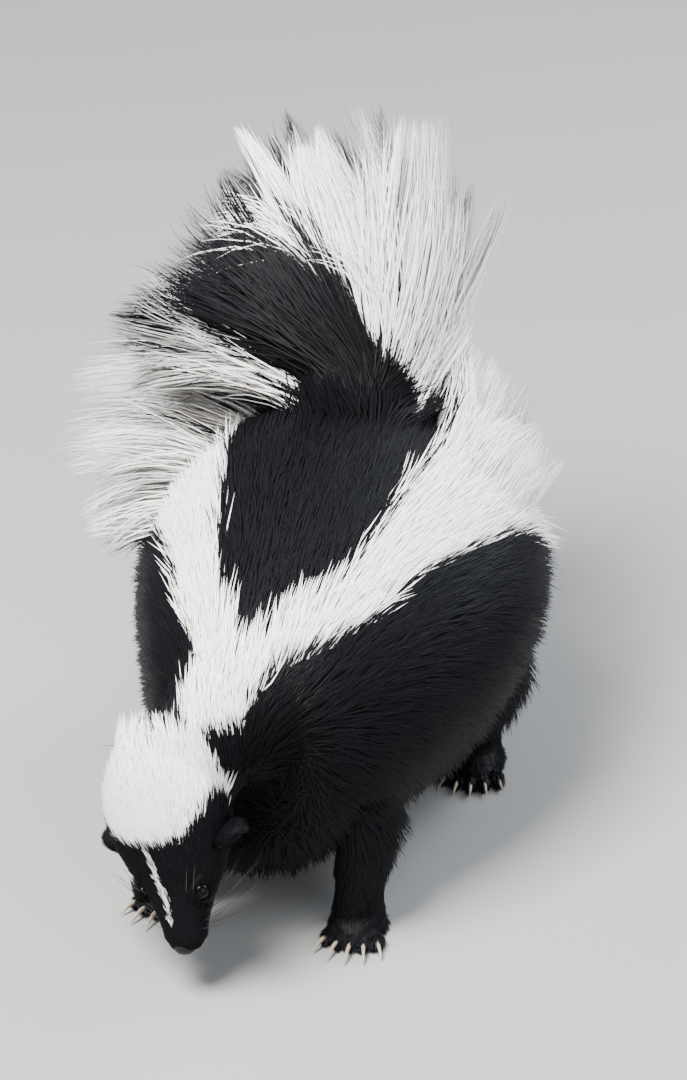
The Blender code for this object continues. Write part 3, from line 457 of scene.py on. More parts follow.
def ball(name, at, axes, sizes, segments=24, rings=16):
    bpy.ops.mesh.primitive_uv_sphere_add(segments=segments, ring_count=rings, radius=1)
    return placed(taken(name), at, axes, sizes)


# The skin


def trunk():
    sections = []
    for row in smooth_rows(TRUNK)[1:-1]:
        sizes = [size - TRUNK_COAT for size in row[3:]]
        sections.append(section(Vector(row[:3]), ACROSS, UP, *sizes))
    return loft("trunk", sections)


def neck():
    sections = []
    for x, y, z, half_width, rise, drop, turn in smooth_rows(NECK):
        up = Vector((0, -math.sin(math.radians(turn)), math.cos(math.radians(turn))))
        sizes = [size - NECK_COAT for size in (half_width, rise, drop)]
        sections.append(section(Vector((x, y, z)), ACROSS, up, *sizes))
    return loft("neck", sections)


def head():
    sections = []
    for along, half_width, crown, jaw, coat in smooth_rows(HEAD):
        sizes = [size - coat for size in (half_width, crown, jaw)]
        sections.append(section(HEAD_AT + HEAD_FORWARD * along, HEAD_RIGHT, HEAD_CROWN, *sizes))
    return loft("head", sections)


def across_at(x, y, side):
    """X of a leg or a paw, from its place on the left of a pair."""
    return side * x + (FORELEGS_LEFT if y < 0 else 0)


def leg(rows, side):
    sections = []
    rows = [(*row, coat) for row, coat in zip(rows, LEG_COAT)]
    for x, y, z, half_width, half_depth, coat in smooth_rows(rows):
        centre = Vector((across_at(x, y, side), y, z))
        wide, deep = half_width - coat, half_depth - coat
        sections.append(section(centre, ACROSS, ALONG, wide, deep, deep))
    return loft("leg", sections)


def tail_rows():
    """Centre, axis and radius down the tail's core."""
    rows = smooth_rows(TAIL)
    found = []
    for i, (x, y, z, radius) in enumerate(rows):
        after, before = rows[min(i + 1, len(rows) - 1)], rows[max(i - 1, 0)]
        along = Vector([a - b for a, b in zip(after[:3], before[:3])]).normalized()
        found.append((Vector((x, y, z)), along, radius))
    return found


def tail_core():
    sections = []
    for centre, along, radius in tail_rows():
        side = (ACROSS - along * along.x).normalized()
        radius -= TAIL_COAT * radius / TAIL[0][3]
        sections.append(section(centre, side, side.cross(along), radius, radius, radius))
    return loft("tail_core", sections)


def paw_frame(sizes, side):
    """Where a paw stands, and its ways ahead and to the left."""
    x, y, splay = sizes[0], sizes[1], sizes[-1]
    turn = Matrix.Rotation(math.radians(splay * side), 3, "Z")
    return Vector((across_at(x, y, side), y, 0)), turn @ Vector((0, -1, 0)), turn @ ACROSS


def toe_places(sizes, side):
    """(middle, way, how far out from -1 to 1) of each toe."""
    at, ahead, left = paw_frame(sizes, side)
    sole, reach = sizes[4], sizes[6]
    forward, less, sideways = TOE_SET
    for i in range(TOES):
        out = (i - (TOES - 1) / 2) / ((TOES - 1) / 2)
        way = (ahead + left * out * TOE_SPREAD).normalized()
        base = at + ahead * reach * (forward - less * out * out)
        yield base + left * sole * out * sideways + UP * TOE_RADIUS, way, out


def paw(sizes, side):
    """Sole, back of the foot and toes, to be blended into the skin."""
    at, ahead, left = paw_frame(sizes, side)
    ankle_wide, ankle_deep, sole, heel, reach = sizes[2:7]
    centre, long = (reach - heel) / 2, (reach + heel) / 2
    coat = LEG_COAT[-1]
    sections = []
    for z, share in PAD_SHAPE:
        half = long * share
        middle_at = at + ahead * centre * PAD_MIDDLE + UP * z
        sections.append(section(middle_at, left, -ahead, sole * share, half, half))
    for z, share in PAD_TOP:
        wide, deep = (ankle_wide - coat) * share, (ankle_deep - coat) * share
        sections.append(section(at + UP * z, ACROSS, ALONG, wide, deep, deep))
    pieces = [loft("paw", sections)]
    for base, way, _ in toe_places(sizes, side):
        radii = [TOE_RADIUS * share for share in TOE_SHAPE]
        pieces.append(ball("toe", base, (way.cross(UP), way, UP), radii, 16, 10))
    return pieces


def eye_way(side):
    """The way that an eye looks."""
    return head_way(EYE_AHEAD, side, EYE_UP).normalized()


def lids():
    """A soft rim round each eye."""
    rims = []
    for _, side in SIDES:
        out = eye_way(side)
        at = on_head(EYE_AT, side * EYE_OUT, EYE_RISE) + out * LID_OUT
        bpy.ops.mesh.primitive_torus_add(major_radius=EYE_RADIUS, minor_radius=LID_RADIUS)
        turn = out.to_track_quat("Z", "Y").to_matrix()
        rims.append(placed(bpy.context.object, at, turn.col, (1.0, 1.0, 1.0)))
    return rims


def mouth_points(skin):
    """The line of the mouth on the skin, from one corner round under the nose to the other."""
    rows = np.array(HEAD)
    points = []
    for i in range(-MOUTH_STEPS, MOUTH_STEPS + 1):
        share = abs(i) / MOUTH_STEPS
        along = MOUTH_FRONT + (MOUTH_BACK - MOUTH_FRONT) * share**MOUTH_CURVE
        half_width, jaw = (np.interp(along, rows[:, 0], rows[:, k]) for k in (1, 3))
        out = math.copysign(half_width * math.sin(math.pi / 2 * min(1, share * MOUTH_WIDEN)), i)
        _, at, outward, _ = skin.closest_point_on_mesh(on_head(along, out, -jaw * MOUTH_LOW))
        points.append(at - outward * MOUTH_SINK)
    return points


def tube(name, points, radius, sides=8):
    sections = []
    for i, point in enumerate(points):
        along = (points[min(i + 1, len(points) - 1)] - points[max(i - 1, 0)]).normalized()
        side = along.cross(HEAD_UP).normalized()
        sections.append(section(point, side, along.cross(side), radius, radius, radius))
    return loft(name, sections, sides)


def blended_skin():
    """Trunk, neck, head, legs, paws and the tail's core, as one closed skin."""
    pieces = [trunk(), neck(), head(), tail_core(), *lids()]
    for _, side in SIDES:
        pieces += [leg(FORELEG, side), leg(HIND_LEG, side)]
        pieces += paw(FOREPAW, side) + paw(HIND_PAW, side)
    skin = joined(pieces, "skin")
    applied(skin, "REMESH", mode="VOXEL", voxel_size=VOXEL)
    applied(skin, "SMOOTH", iterations=SKIN_RELAX)
    points = coordinates(skin.data)
    points[:, 2] = np.maximum(points[:, 2], SOLE)
    skin.data.vertices.foreach_set("co", points.ravel())
    face = (in_head(points)[:, 0] > FACE_FROM) & (points[:, 1] < FACE_BACK)
    plain = skin.vertex_groups.new(name="plain")
    plain.add(np.flatnonzero(~(face | (points[:, 2] < ANKLE))).tolist(), 1.0, "REPLACE")
    applied(skin, "DECIMATE", ratio=BODY_SHARE, vertex_group="plain")
    skin.vertex_groups.clear()
    return skin


def read(rows, key, width, kind=float):
    """A mesh's data as an array with a row for each."""
    found = np.empty(len(rows) * width, kind)
    rows.foreach_get(key, found)
    return found.reshape(-1, width)


def write(rows, key, values, kind=np.float32):
    """Puts an array into a mesh's data."""
    rows.foreach_set(key, values.astype(kind).ravel())


def coordinates(mesh):
    return read(mesh.vertices, "co", 3)


def in_head(points):
    """Points as (along, out, rise) in the head's frame."""
    axes = np.array((HEAD_FORWARD, -HEAD_RIGHT, HEAD_CROWN))
    return (points - np.array(HEAD_AT)) @ axes.T


def white_at(points):
    """Whether the coat is white at each point of trunk, neck or head."""
    along, out, rise = in_head(points).T
    wide = np.abs(out - CAP_MIDDLE) / CAP[1]
    cap = (np.maximum(along, 0) / CAP[0]) ** CAP_SQUARE + wide**CAP_SQUARE < 1
    blaze = (along < BLAZE[0]) & (np.abs(out) < BLAZE[1])
    on_top = (cap & (rise > CAP_LOW)) | (blaze & (rise > 0))
    trunk_rows = np.array(TRUNK)[::-1]
    stripes = np.array(STRIPES)
    x, y, z = points.T
    side = x - np.interp(y, trunk_rows[:, 1], trunk_rows[:, 0])
    high = z - np.interp(y, trunk_rows[:, 1], trunk_rows[:, 2])
    inner, outer, lean = (np.interp(y, stripes[:, 0], stripes[:, k]) for k in (1, 2, 3))
    angle = np.abs(np.degrees(np.arctan2(side, high)) - lean)
    return np.where(along > CAP_BACK, on_top, (angle >= inner) & (angle <= outer))


def unit(vectors):
    return vectors / np.maximum(np.linalg.norm(vectors, axis=-1, keepdims=True), 1e-9)


def blend_guides(points, places, rows, reach):
    """Rows of numbers given at places, blended at each point by nearness."""
    apart = ((points[:, None, :] - places[None]) ** 2).sum(-1)
    weight = 1 / (apart + reach**2) ** 2
    return (weight @ rows) / weight.sum(1, keepdims=True)


def mirrored(rows):
    found = []
    for place, way, *rest in rows:
        found.append((*place, *Vector(way).normalized(), *rest))
        if place[0] > OFF_MIDDLE:
            found.append((-place[0], *place[1:], *Vector((-way[0], *way[1:])).normalized(), *rest))
    return found


def lie_guides():
    rows = mirrored(LIE)
    for place, way, length, lift in HEAD_LIE:
        for side in (1, -1) if place[1] else (1,):
            there = on_head(place[0], place[1] * side, place[2])
            rows.append((*there, *head_way(way[0], way[1] * side, way[2]).normalized(), length, lift))
    return np.array(rows)


def long_guides():
    return np.array([(*root, *Vector(way).normalized(), *rest) for root, way, *rest in GUIDES])


def round_tail(points):
    """How far each point is from the tail's axis, in radii of the core there, and the way out to it."""
    rows = tail_rows()
    centres = np.array([row[0] for row in rows])
    radii = np.array([row[2] for row in rows])
    apart = np.linalg.norm(points[:, None] - centres[None], axis=-1)
    nearest = (apart / radii).argmin(1)
    return apart[np.arange(len(points)), nearest] / radii[nearest], unit(points - centres[nearest])


def on_tail(points):
    away, _ = round_tail(points)
    return (away < TAIL_SKIN) & (points[:, 2] > TAIL_FOOT)


def tail_white(points):
    _, outward = round_tail(points)
    high = np.interp(points[:, 2], BAND_HEIGHTS, (0, 1))[:, None]
    low_way, high_way = unit(np.array(BAND_WAYS))
    in_front = (outward * unit(low_way * (1 - high) + high_way * high)).sum(1)
    below = (points[:, 0] < END_FROM) & (outward[:, 2] < END_LOW) & (points[:, 2] > BAND_HEIGHTS[1])
    least = np.where(below, END_SHARE, BAND_SHARE)
    behind = (outward @ unit(np.array(BACK_WAY)) > BACK_SHARE) & (points[:, 2] < BACK_TOP)
    foot = (points[:, 2] < FOOT_TOP) & (outward[:, 0] < 0) & (outward[:, 1] < FOOT_BACK)
    over = (points[:, 0] < END_FROM) & (outward[:, 2] > END_HIGH)
    return ((in_front < least) | over) & ~behind & ~foot


def marked(points):
    return np.where(on_tail(points), tail_white(points), white_at(points))


# Materials


class Value:
    """A shader socket that takes plain arithmetic."""

    def __init__(self, finish, socket):
        self.finish = finish
        self.socket = socket

    def math(self, operation, other):
        return self.finish.node("ShaderNodeMath", {"operation": operation}, {0: self, 1: other})

    def __mul__(self, other):
        return self.math("MULTIPLY", other)

    __rmul__ = __mul__

    def __gt__(self, other):
        return self.math("GREATER_THAN", other)


class Finish:
    """A material, built node by node on its Principled shader."""

    def __init__(self, name, **constants):
        self.material = bpy.data.materials.new(name)
        self.material.use_nodes = True
        self.tree = self.material.node_tree
        self.shader = self.tree.nodes["Principled BSDF"]
        for key, value in constants.items():
            self.shader.inputs[key.replace("_", " ")].default_value = value

    def node(self, kind, settings=None, inputs=None, out=0):
        made = self.tree.nodes.new(kind)
        for key, value in (settings or {}).items():
            setattr(made, key, value)
        for key, value in (inputs or {}).items():
            self.feed(made.inputs[key], value)
        return Value(self, made.outputs[out])

    def feed(self, socket, value):
        if isinstance(value, Value):
            self.tree.links.new(value.socket, socket)
        else:
            socket.default_value = value

    def set(self, **inputs):
        for key, value in inputs.items():
            self.feed(self.shader.inputs[key.replace("_", " ")], value)
        return self

    def place(self):
        return self.node("ShaderNodeTexCoord", out="Object")

    def noise(self, scale, detail):
        inputs = {"Vector": self.place(), "Scale": scale, "Detail": detail}
        return self.node("ShaderNodeTexNoise", None, inputs)

    def mix(self, share, low, high):
        return self.node("ShaderNodeMix", {"data_type": "RGBA"}, {0: share, 6: low, 7: high}, out=2)

    def field(self, name):
        return self.node("ShaderNodeAttribute", {"attribute_name": name}, out="Fac")

    def bump(self, height, strength, distance):
        inputs = {"Height": height, "Strength": strength, "Distance": distance}
        return self.node("ShaderNodeBump", None, inputs)


def shade(value, warmth=0.0):
    return (value * (1 + warmth), value, value * (1 - warmth), 1)


def grained(name, scale, detail, low, high, bump=None, **constants):
    """A finish whose tint, and bumps if it has any, follow one fine grain."""
    finish = Finish(name, **constants)
    grain = finish.noise(scale, detail)
    finish.set(Base_Color=finish.mix(grain, low, high))
    if bump:
        finish.set(Normal=finish.bump(grain, *bump))
    return finish.material


def fur_finish():
    """Black and white hair, by each tuft's marking and shade and by how far up the tuft a point is."""
    fur = Finish("fur", Roughness=0.5, Specular_IOR_Level=0.10)
    white, tone, tip = fur.field("white"), fur.field("shade"), fur.field("tip")
    # Painted shade and painted sheen: black hair is darker at its root, where shade falls deep in the
    # coat, and lighter and bluish at its tip.
    black = fur.mix(tip, shade(0.0012), (0.0036, 0.0042, 0.0068, 1))
    black = fur.mix(tone * 0.4, black, (0.0060, 0.0055, 0.0056, 1))
    # Painted shade: white hair is greyer at its root, where shade falls deep in the coat.
    pale = fur.mix(tip, shade(0.86, 0.03), shade(0.96, 0.01))
    pale = fur.mix(tone * 0.35, pale, shade(0.88, 0.04))
    return fur.set(Base_Color=fur.mix(white, black, pale)).material


def skin_finish():
    """Dark or pale short down over the skin, with its fine grain."""
    skin = Finish("skin", Roughness=0.8, Specular_IOR_Level=0.06)
    white = skin.field("white")
    grain = skin.noise(900, 4)
    black = skin.mix(grain, shade(0.0014), shade(0.0045, 0.05))
    pale = skin.mix(grain, shade(0.70, 0.05), shade(0.86, 0.03))
    tint = skin.mix(white > 0.5, black, pale)
    return skin.set(Base_Color=tint, Normal=skin.bump(grain, 0.5, 0.0004)).material


# The coat


def mesh_from(name, points, triangles):
    mesh = bpy.data.meshes.new(name)
    mesh.vertices.add(len(points))
    write(mesh.vertices, "co", points)
    mesh.loops.add(triangles.size)
    write(mesh.loops, "vertex_index", triangles, np.int32)
    mesh.polygons.add(len(triangles))
    write(mesh.polygons, "loop_start", np.arange(0, triangles.size, 3), np.int32)
    mesh.update(calc_edges=True)
    mesh.shade_smooth()
    return mesh


def add_field(mesh, name, values):
    write(mesh.attributes.new(name, "FLOAT", "POINT").data, "value", values)


def tuft_faces(rings):
    """Triangles of one closed three-sided tuft: its cap, its sides and its tip."""
    faces = [(0, 1, 2)]
    tip = 3 * rings
    for k in range(rings):
        a, b, c = 3 * k, 3 * k + 1, 3 * k + 2
        for first, second in ((b, a), (c, b), (a, c)):
            if k < rings - 1:
                faces += [(first, second, second + 3), (first, second + 3, first + 3)]
            else:
                faces.append((first, second, tip))
    return np.array(faces)


def tufts(name, spines, outward, widths, thickness, fields, unwrap, finish):
    """Makes closed tufts one piece. Spines are (tuft, place, xyz), the last place being the tip."""
    count, places, _ = spines.shape
    spines[..., 2] = np.maximum(spines[..., 2], LOWEST_HAIR - SHIFT[2])
    rings = places - 1
    along = unit(spines[:, 1:] - spines[:, :-1])
    side = unit(np.cross(along, outward[:, None]))
    up = np.cross(side, along)
    side, up = side * widths[..., None] / 2, up * thickness[..., None] / 2
    at = spines[:, :-1]
    corners = np.stack((at - side - up / 2, at + side - up / 2, at + up), axis=2)
    points = np.concatenate((corners.reshape(count, -1, 3), spines[:, -1:]), axis=1)
    per_tuft = 3 * rings + 1
    first = np.arange(count)[:, None, None] * per_tuft
    triangles = (tuft_faces(rings)[None] + first).reshape(-1, 3)
    mesh = mesh_from(name, points.reshape(-1, 3) + np.array(SHIFT), triangles)
    own = unit(np.stack((-side - up / 2, side - up / 2, up), axis=2))
    own = np.concatenate((own.reshape(count, -1, 3), outward[:, None]), axis=1)
    soft = unit(own * (1 - SOFTNESS) + outward[:, None] * SOFTNESS)
    write(mesh.attributes.new("custom_normal", "FLOAT_VECTOR", "POINT").data, "vector", soft)
    up_tuft = np.append(np.repeat(np.linspace(0, 1, places)[:-1], 3), 1.0)
    for key, values in fields.items():
        add_field(mesh, key, np.repeat(values, per_tuft))
    add_field(mesh, "tip", np.tile(up_tuft, count))
    across = np.append(np.tile((-0.5, 0.5, 0.0), rings), 0.0)
    patch = np.stack((across, up_tuft - 0.5), axis=1) * PATCH
    corners_uv = (unwrap[:, None] + patch[None]).reshape(-1, 2)[triangles.ravel()]
    write(mesh.uv_layers.new(name="OFBake").data, "uv", corners_uv)
    mesh.materials.append(finish)
    thing = bpy.data.objects.new(name, mesh)
    bpy.context.scene.collection.objects.link(thing)
    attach(thing, "root")
    return thing


class Surface:
    """The skin's triangles, for roots spread over it."""

    def __init__(self, thing):
        mesh = thing.data
        mesh.calc_loop_triangles()
        corners = read(mesh.loop_triangles, "vertices", 3, np.int32)
        loops = read(mesh.loop_triangles, "loops", 3, np.int32)
        self.points = coordinates(mesh)[corners]
        self.outward = read(mesh.vertex_normals, "vector", 3)[corners]
        self.unwrap = read(mesh.uv_layers["OFBake"].data, "uv", 2)[loops]
        self.centres = self.points.mean(1)
        edges = self.points[:, 1:] - self.points[:, :1]
        self.areas = np.linalg.norm(np.cross(edges[:, 0], edges[:, 1]), axis=1) / 2

    def spread(self, density):
        """Roots at each triangle's density: (places, normals, places on the unwrap)."""
        share = self.areas * density
        total = int(share.sum())
        steps = (np.arange(total) + rng.random(total)) / total * share.sum()
        chosen = np.minimum(np.searchsorted(np.cumsum(share), steps), len(share) - 1)
        a, b = rng.random((2, total))
        flip = a + b > 1
        a, b = np.where(flip, 1 - a, a), np.where(flip, 1 - b, b)
        weights = np.stack((1 - a - b, a, b), axis=1)[..., None]
        return (
            (self.points[chosen] * weights).sum(1),
            unit((self.outward[chosen] * weights).sum(1)),
            (self.unwrap[chosen] * weights).sum(1),
        )


def clumped(roots, tips, every, pull):
    """Draws the tips of neighbouring tufts together, as tufts of hair lie."""
    leaders = rng.permutation(len(roots))[: max(1, len(roots) // every)]
    tree = KDTree(len(leaders))
    for i, leader in enumerate(leaders):
        tree.insert(roots[leader], i)
    tree.balance()
    nearest = leaders[[tree.find(root)[1] for root in roots]]
    return tips + (tips[nearest] - tips) * np.reshape(pull, (-1, 1))


FLATNESS = 0.6  # a tuft's thickness as a share of its width


def coat_piece(name, spines, facing, size, shape, white, unwrap, finish):
    """Tufts of their own sizes and markings, all of one shape, with a shade drawn for each."""
    widths = size[:, None] * np.array(shape)
    fields = {"white": white.astype(float), "shade": rng.random(len(size))}
    return tufts(name, spines, facing, widths, widths * FLATNESS, fields, unwrap, finish)


# Short tufts. A pair gives the least and the most of a number that is drawn for each tuft.
SHORT_MIDDLE = 0.42  # of a tuft's length up to its middle
SHORT_SHAPE = (0.75, 1.0)  # share of its width at root and middle
SHORT_BLUR = 0.0008  # how far a marking's edge strays
SHORT_STRAY = 0.13  # and a tuft's direction
SHORT_LENGTHS = (0.70, 1.15)
SHORT_WIDTHS = (0.7, 1.25)
SHORT_LIFTS = (0.6, 1.4)
SHORT_LEVEL = 0.4  # of its lift is left at a tuft's end
SHORT_BEND = (0.8, 0.2)  # how much its lower half keeps to its start and to its end
SHORT_ROOT = 0.05  # of its length lies under the skin
SHORT_CLUMP, SHORT_PULL = 10, 0.32  # tufts to a clump, and how far their tips are drawn together
EDGE_STEP = 0.010  # a white tuft within this distance of the black coat ahead of it stands out over it
EDGE_LENGTHS = (1.0, 1.45)
EDGE_LIFTS = (0, 9)


def lie_over_skin(roots):
    """(direction, length, degrees that it lifts) of the short coat at each root."""
    guides = lie_guides()
    values = blend_guides(roots, guides[:, :3], guides[:, 3:], LIE_REACH)
    return values[:, :3], values[:, 3], values[:, 4]


def short_coat(
    name, roots, outward, unwrap, finish, least, share, lie=lie_over_skin, marks=marked, slot="coat"
):
    """Tufts of the short coat at the given roots, least wide plus a share of their length."""
    way, length, lift = lie(roots)
    count = len(roots)
    way = way + rng.normal(0, SHORT_STRAY, (count, 3))
    way = unit(way - outward * (way * outward).sum(1, keepdims=True))
    white = marks(roots + rng.normal(0, SHORT_BLUR, (count, 3)))
    edge = white & ~marks(roots + way * EDGE_STEP)
    length = length * rng.uniform(*SHORT_LENGTHS, count)
    length = length * np.where(edge, rng.uniform(*EDGE_LENGTHS, count), 1.0)
    rise = np.radians(lift * rng.uniform(*SHORT_LIFTS, count) + edge * rng.uniform(*EDGE_LIFTS, count))
    start, end = (
        way * np.cos(angle)[:, None] + outward * np.sin(angle)[:, None]
        for angle in (rise, rise * SHORT_LEVEL)
    )
    tips = clumped(roots, roots + (start + end) / 2 * length[:, None], SHORT_CLUMP, SHORT_PULL)
    base = roots - outward * (length * SHORT_ROOT)[:, None]
    lower = start * SHORT_BEND[0] + unit(tips - base) * SHORT_BEND[1]
    spines = np.stack((base, base + lower * (length * SHORT_MIDDLE)[:, None], tips), axis=1)
    size = (least + length * share) * rng.uniform(*SHORT_WIDTHS, count)
    return coat_piece(name, spines, outward, size, SHORT_SHAPE, white, unwrap, finish)


# Long hairs
LONG_PLACES = (0, 0.18, 0.42, 0.68, 0.88, 1)  # of the rings and the tip up a hair
LONG_SHAPE = (0.8, 1.0, 0.92, 0.72, 0.42)  # share of its width at the rings
LONG_WIDTHS = (0.7, 1.3)
LONG_BLUR = 0.0010
LONG_LEAVE = 0.45  # how far a hair leaves the skin outwards
LONG_SAGS = (0.5, 1.4)
LONG_SWERVES = (-0.14, 0.14)
LONG_FACING = (0, -0.7, 0.1)  # where its flat side leans
LONG_FACE = 0.3  # how far it is shaded by that side
LONG_ROOT = 0.0015  # how deep it is rooted
LONG_PULLS = (0.7, 1.15)
BLACK_PULL = 0.6  # black tips are drawn together less


def long_coat(name, roots, outward, unwrap, finish, width, spread, clump, pull, least, most):
    """Long hairs of tail and rump, that leave the skin outwards and bend into the lie of their guides.

    Their lengths run from least to most, as shares of their guides' lengths.
    """
    guides = long_guides()
    count = len(roots)
    white = marked(roots + rng.normal(0, LONG_BLUR, (count, 3)))
    values = blend_guides(roots, guides[:, :3], guides[:, 3:8], GUIDE_REACH)
    tail = on_tail(roots)
    for pale in (False, True):
        own = tail & (white == pale)
        rows = guides[guides[:, 8] == pale]
        values[own] = blend_guides(roots[own], rows[:, :3], rows[:, 3:8], GUIDE_REACH)
    way = unit(unit(values[:, :3]) + rng.normal(0, spread, (count, 3)))
    length = values[:, 3] * rng.uniform(least, most, count)
    start = unit(outward * LONG_LEAVE + way)
    droop = np.array((0, 0, -1.0)) * (length * values[:, 4] * rng.uniform(*LONG_SAGS, count))[:, None]
    side = unit(np.cross(way, outward + np.array(LONG_FACING)))
    swerve = side * (length * rng.uniform(*LONG_SWERVES, count))[:, None]
    tips = roots + way * length[:, None] + droop + swerve
    pull = pull * np.where(white, 1.0, BLACK_PULL) * rng.uniform(*LONG_PULLS, count)
    pulled = clumped(roots, tips, clump, pull) - tips
    base = roots - outward * LONG_ROOT
    rings = []
    for t in LONG_PLACES:
        bend = (droop + swerve + pulled) * t * t
        rings.append(base + (start * (1 - t) + way * t) * (length * t)[:, None] + bend)
    spines = np.stack(rings, axis=1)
    facing = unit(side * LONG_FACE + outward)
    size = width * rng.uniform(*LONG_WIDTHS, count)
    return coat_piece(name, spines, facing, size, LONG_SHAPE, white, unwrap, finish)


# The head's coat: it starts along the head, and lies within a height, a half width, Y and a radius.
HEAD_FROM, HEAD_HIGH, HEAD_WIDE, HEAD_BACK, HEAD_ROUND = -0.004, 0.125, 0.045, -0.075, 0.042
HEAD_PLACES = (0.0, 0.03, 0.06, 0.085)  # along the head, and its tufts to the square metre there
HEAD_TUFTS = (0.8e6, 1.4e6, 3.6e6, 6.5e6)
MUZZLE_FROM = 0.046  # along the head, where the face's own piece of coat starts
BARE_ROUND_EYE, BARE_BEHIND_NOSE = 0.0004, 0.0015  # bare rims of eye and nose pad
SOLE_FACING, SOLE_EDGE = -0.6, 0.0016  # a sole faces down, and is bare up to its edge
SHANK_TOP, SHANK_INNER = 0.046, 0.022  # a shank is below this height and this far out
MIDLINE = 0.003  # X where the body's left and right pieces meet
BODY_PARTS = (("front", -1, -0.02), ("middle", -0.02, 0.06), ("rear", 0.06, 1))  # (name, from Y, to Y)
# (least width, how much wider a tuft is for its length)
HEAD_COAT = (0.00018, 0.044)
FACE_COAT = (0.00018, 0.048)
# The same after the tufts to the square metre
PAW_COAT = (1.8e6, 0.00024, 0.066)
SHANK_COAT = (0.60e6, 0.00034, 0.050)
BODY_COAT = (0.47e6, 0.00030, 0.019)
THIN_PLACES = (-0.045, -0.020, 0.010, 0.024)  # X on the tail, and the share of its hairs that grow there
THIN = (0.4, 1.0, 1.0, 1.8)
# (piece, hairs to the square metre, width, stray of their directions, hairs to a clump, pull of its tips,
# least and greatest share of the guides' lengths)
TAIL_HAIR = (
    ("tail_down", 0.56e6, 0.0010, 0.12, 12, 0.45, 0.42, 0.78),
    ("tail_wisps", 0.58e6, 0.0008, 0.09, 60, 0.88, 0.72, 1.06),
)
RUMP_HAIR = (
    ("rump_down", 0.24e6, 0.0010, 0.12, 10, 0.45, 0.45, 0.80),
    ("rump_wisps", 0.18e6, 0.0007, 0.10, 34, 0.75, 0.72, 1.06),
)


def dress(skin, fur):
    """Spreads the whole coat over the skin, region by region."""
    surface = Surface(skin)
    at = surface.centres
    x, y, z = at.T
    tail = on_tail(at)
    along, out, rise = in_head(at).T
    in_front = (along > HEAD_FROM) & (z < HEAD_HIGH) & (np.abs(out) < HEAD_WIDE) & (y < HEAD_BACK)
    head = in_front & (np.hypot(out, rise) < HEAD_ROUND)
    low = z < ANKLE
    shank = (z < SHANK_TOP) & ~low & ~head & (np.abs(x) > SHANK_INNER)
    body = ~(tail | head | low | shank)
    sole = (surface.outward.mean(1)[:, 2] < SOLE_FACING) | (z <= SOLE_EDGE)
    fine = np.interp(along, HEAD_PLACES, HEAD_TUFTS)
    face = along > MUZZLE_FROM
    regions = [
        ("coat_head", head & ~face, fine, *HEAD_COAT),
        ("coat_face", head & face & ~bare_face(at), fine, *FACE_COAT),
        ("coat_paws", low & ~sole, *PAW_COAT),
        ("coat_legs", shank, *SHANK_COAT),
    ]
    for word, near in (("left", x >= MIDLINE), ("right", x < MIDLINE)):
        for place, first, last in BODY_PARTS:
            regions.append((f"coat_{place}_{word}", body & near & (y >= first) & (y < last), *BODY_COAT))
    for name, where, density, *sizes in regions:
        short_coat(name, *surface.spread(np.where(where, density, 0.0)), fur, *sizes)
    guides = long_guides()
    to_guides = ((at[:, None] - guides[-RUMP_GUIDES:, :3][None]) ** 2).sum(-1).min(1) ** 0.5
    rump = body & (to_guides < RUMP_REACH) & (z > RUMP_LOW) & (marked(at) | (y > RUMP_BACK))
    for where, thin, rows in ((tail, np.interp(x, THIN_PLACES, THIN), TAIL_HAIR), (rump, 1.0, RUMP_HAIR)):
        for name, density, *settings in rows:
            grown = surface.spread(np.where(where, density * thin, 0.0))
            long_coat(name, *grown, fur, *settings)


def bare_face(points):
    """Where the face is bare: round the eyes and at the nose pad."""
    along, out, rise = in_head(points).T
    to_eye = np.sqrt((along - EYE_AT) ** 2 + (np.abs(out) - EYE_OUT) ** 2 + (rise - EYE_RISE) ** 2)
    return (to_eye < EYE_RADIUS + BARE_ROUND_EYE) | (along > NOSE_AT - BARE_BEHIND_NOSE)


# Face, ears, claws and whiskers


def eye_finish():
    dark, brown = (0.0014, 0.0011, 0.0010, 1), (0.0045, 0.0030, 0.0022, 1)
    return grained("eye", 600, 2, dark, brown, Roughness=0.08, Specular_IOR_Level=0.12)


def nose_finish():
    """Grey skin, pebbled in small cells."""
    nose = Finish("nose", Roughness=0.45, Specular_IOR_Level=0.18)
    pebbles = nose.node("ShaderNodeTexVoronoi", None, {"Vector": nose.place(), "Scale": 1700.0})
    tint = nose.mix(pebbles, shade(0.006, 0.08), shade(0.013, 0.10))
    return nose.set(Base_Color=tint, Normal=nose.bump(pebbles, 0.5, 0.0003)).material


def lip_finish():
    return grained("lip", 1200, 3, shade(0.006), shade(0.016, 0.15), (0.4, 0.0002), Roughness=0.5)


def claw_finish():
    """Pale horn, darker in fine specks."""
    dark, pale = (0.16, 0.12, 0.085, 1), (0.46, 0.39, 0.30, 1)
    return grained("claw", 420, 5, dark, pale, (0.25, 0.0002), Roughness=0.42, Coat_Weight=0.15)


def ear_finish():
    return grained("ear", 700, 4, shade(0.010, 0.1), shade(0.028, 0.2), (0.4, 0.0003), Roughness=0.65)


def whisker_finish():
    hair = Finish("whisker", Roughness=0.4)
    return hair.set(Base_Color=hair.mix(hair.field("tip"), shade(0.010), shade(0.06, 0.1))).material


def standing(thing, slot, finish, *nodes):
    """A finished piece in its place on the body, for the nodes that it replaces."""
    thing.data.materials.clear()
    thing.data.materials.append(finish)
    thing.data.transform(Matrix.Translation(SHIFT))
    smooth(thing, 60)
    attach(thing, "root")
    if nodes:
        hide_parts(*nodes)
    return thing


def cut(thing, tools):
    """Takes the tools' shapes out of a piece."""
    for tool in tools:
        applied(thing, "BOOLEAN", operation="DIFFERENCE", object=tool, solver="EXACT")
        bpy.data.objects.remove(tool)
    return thing


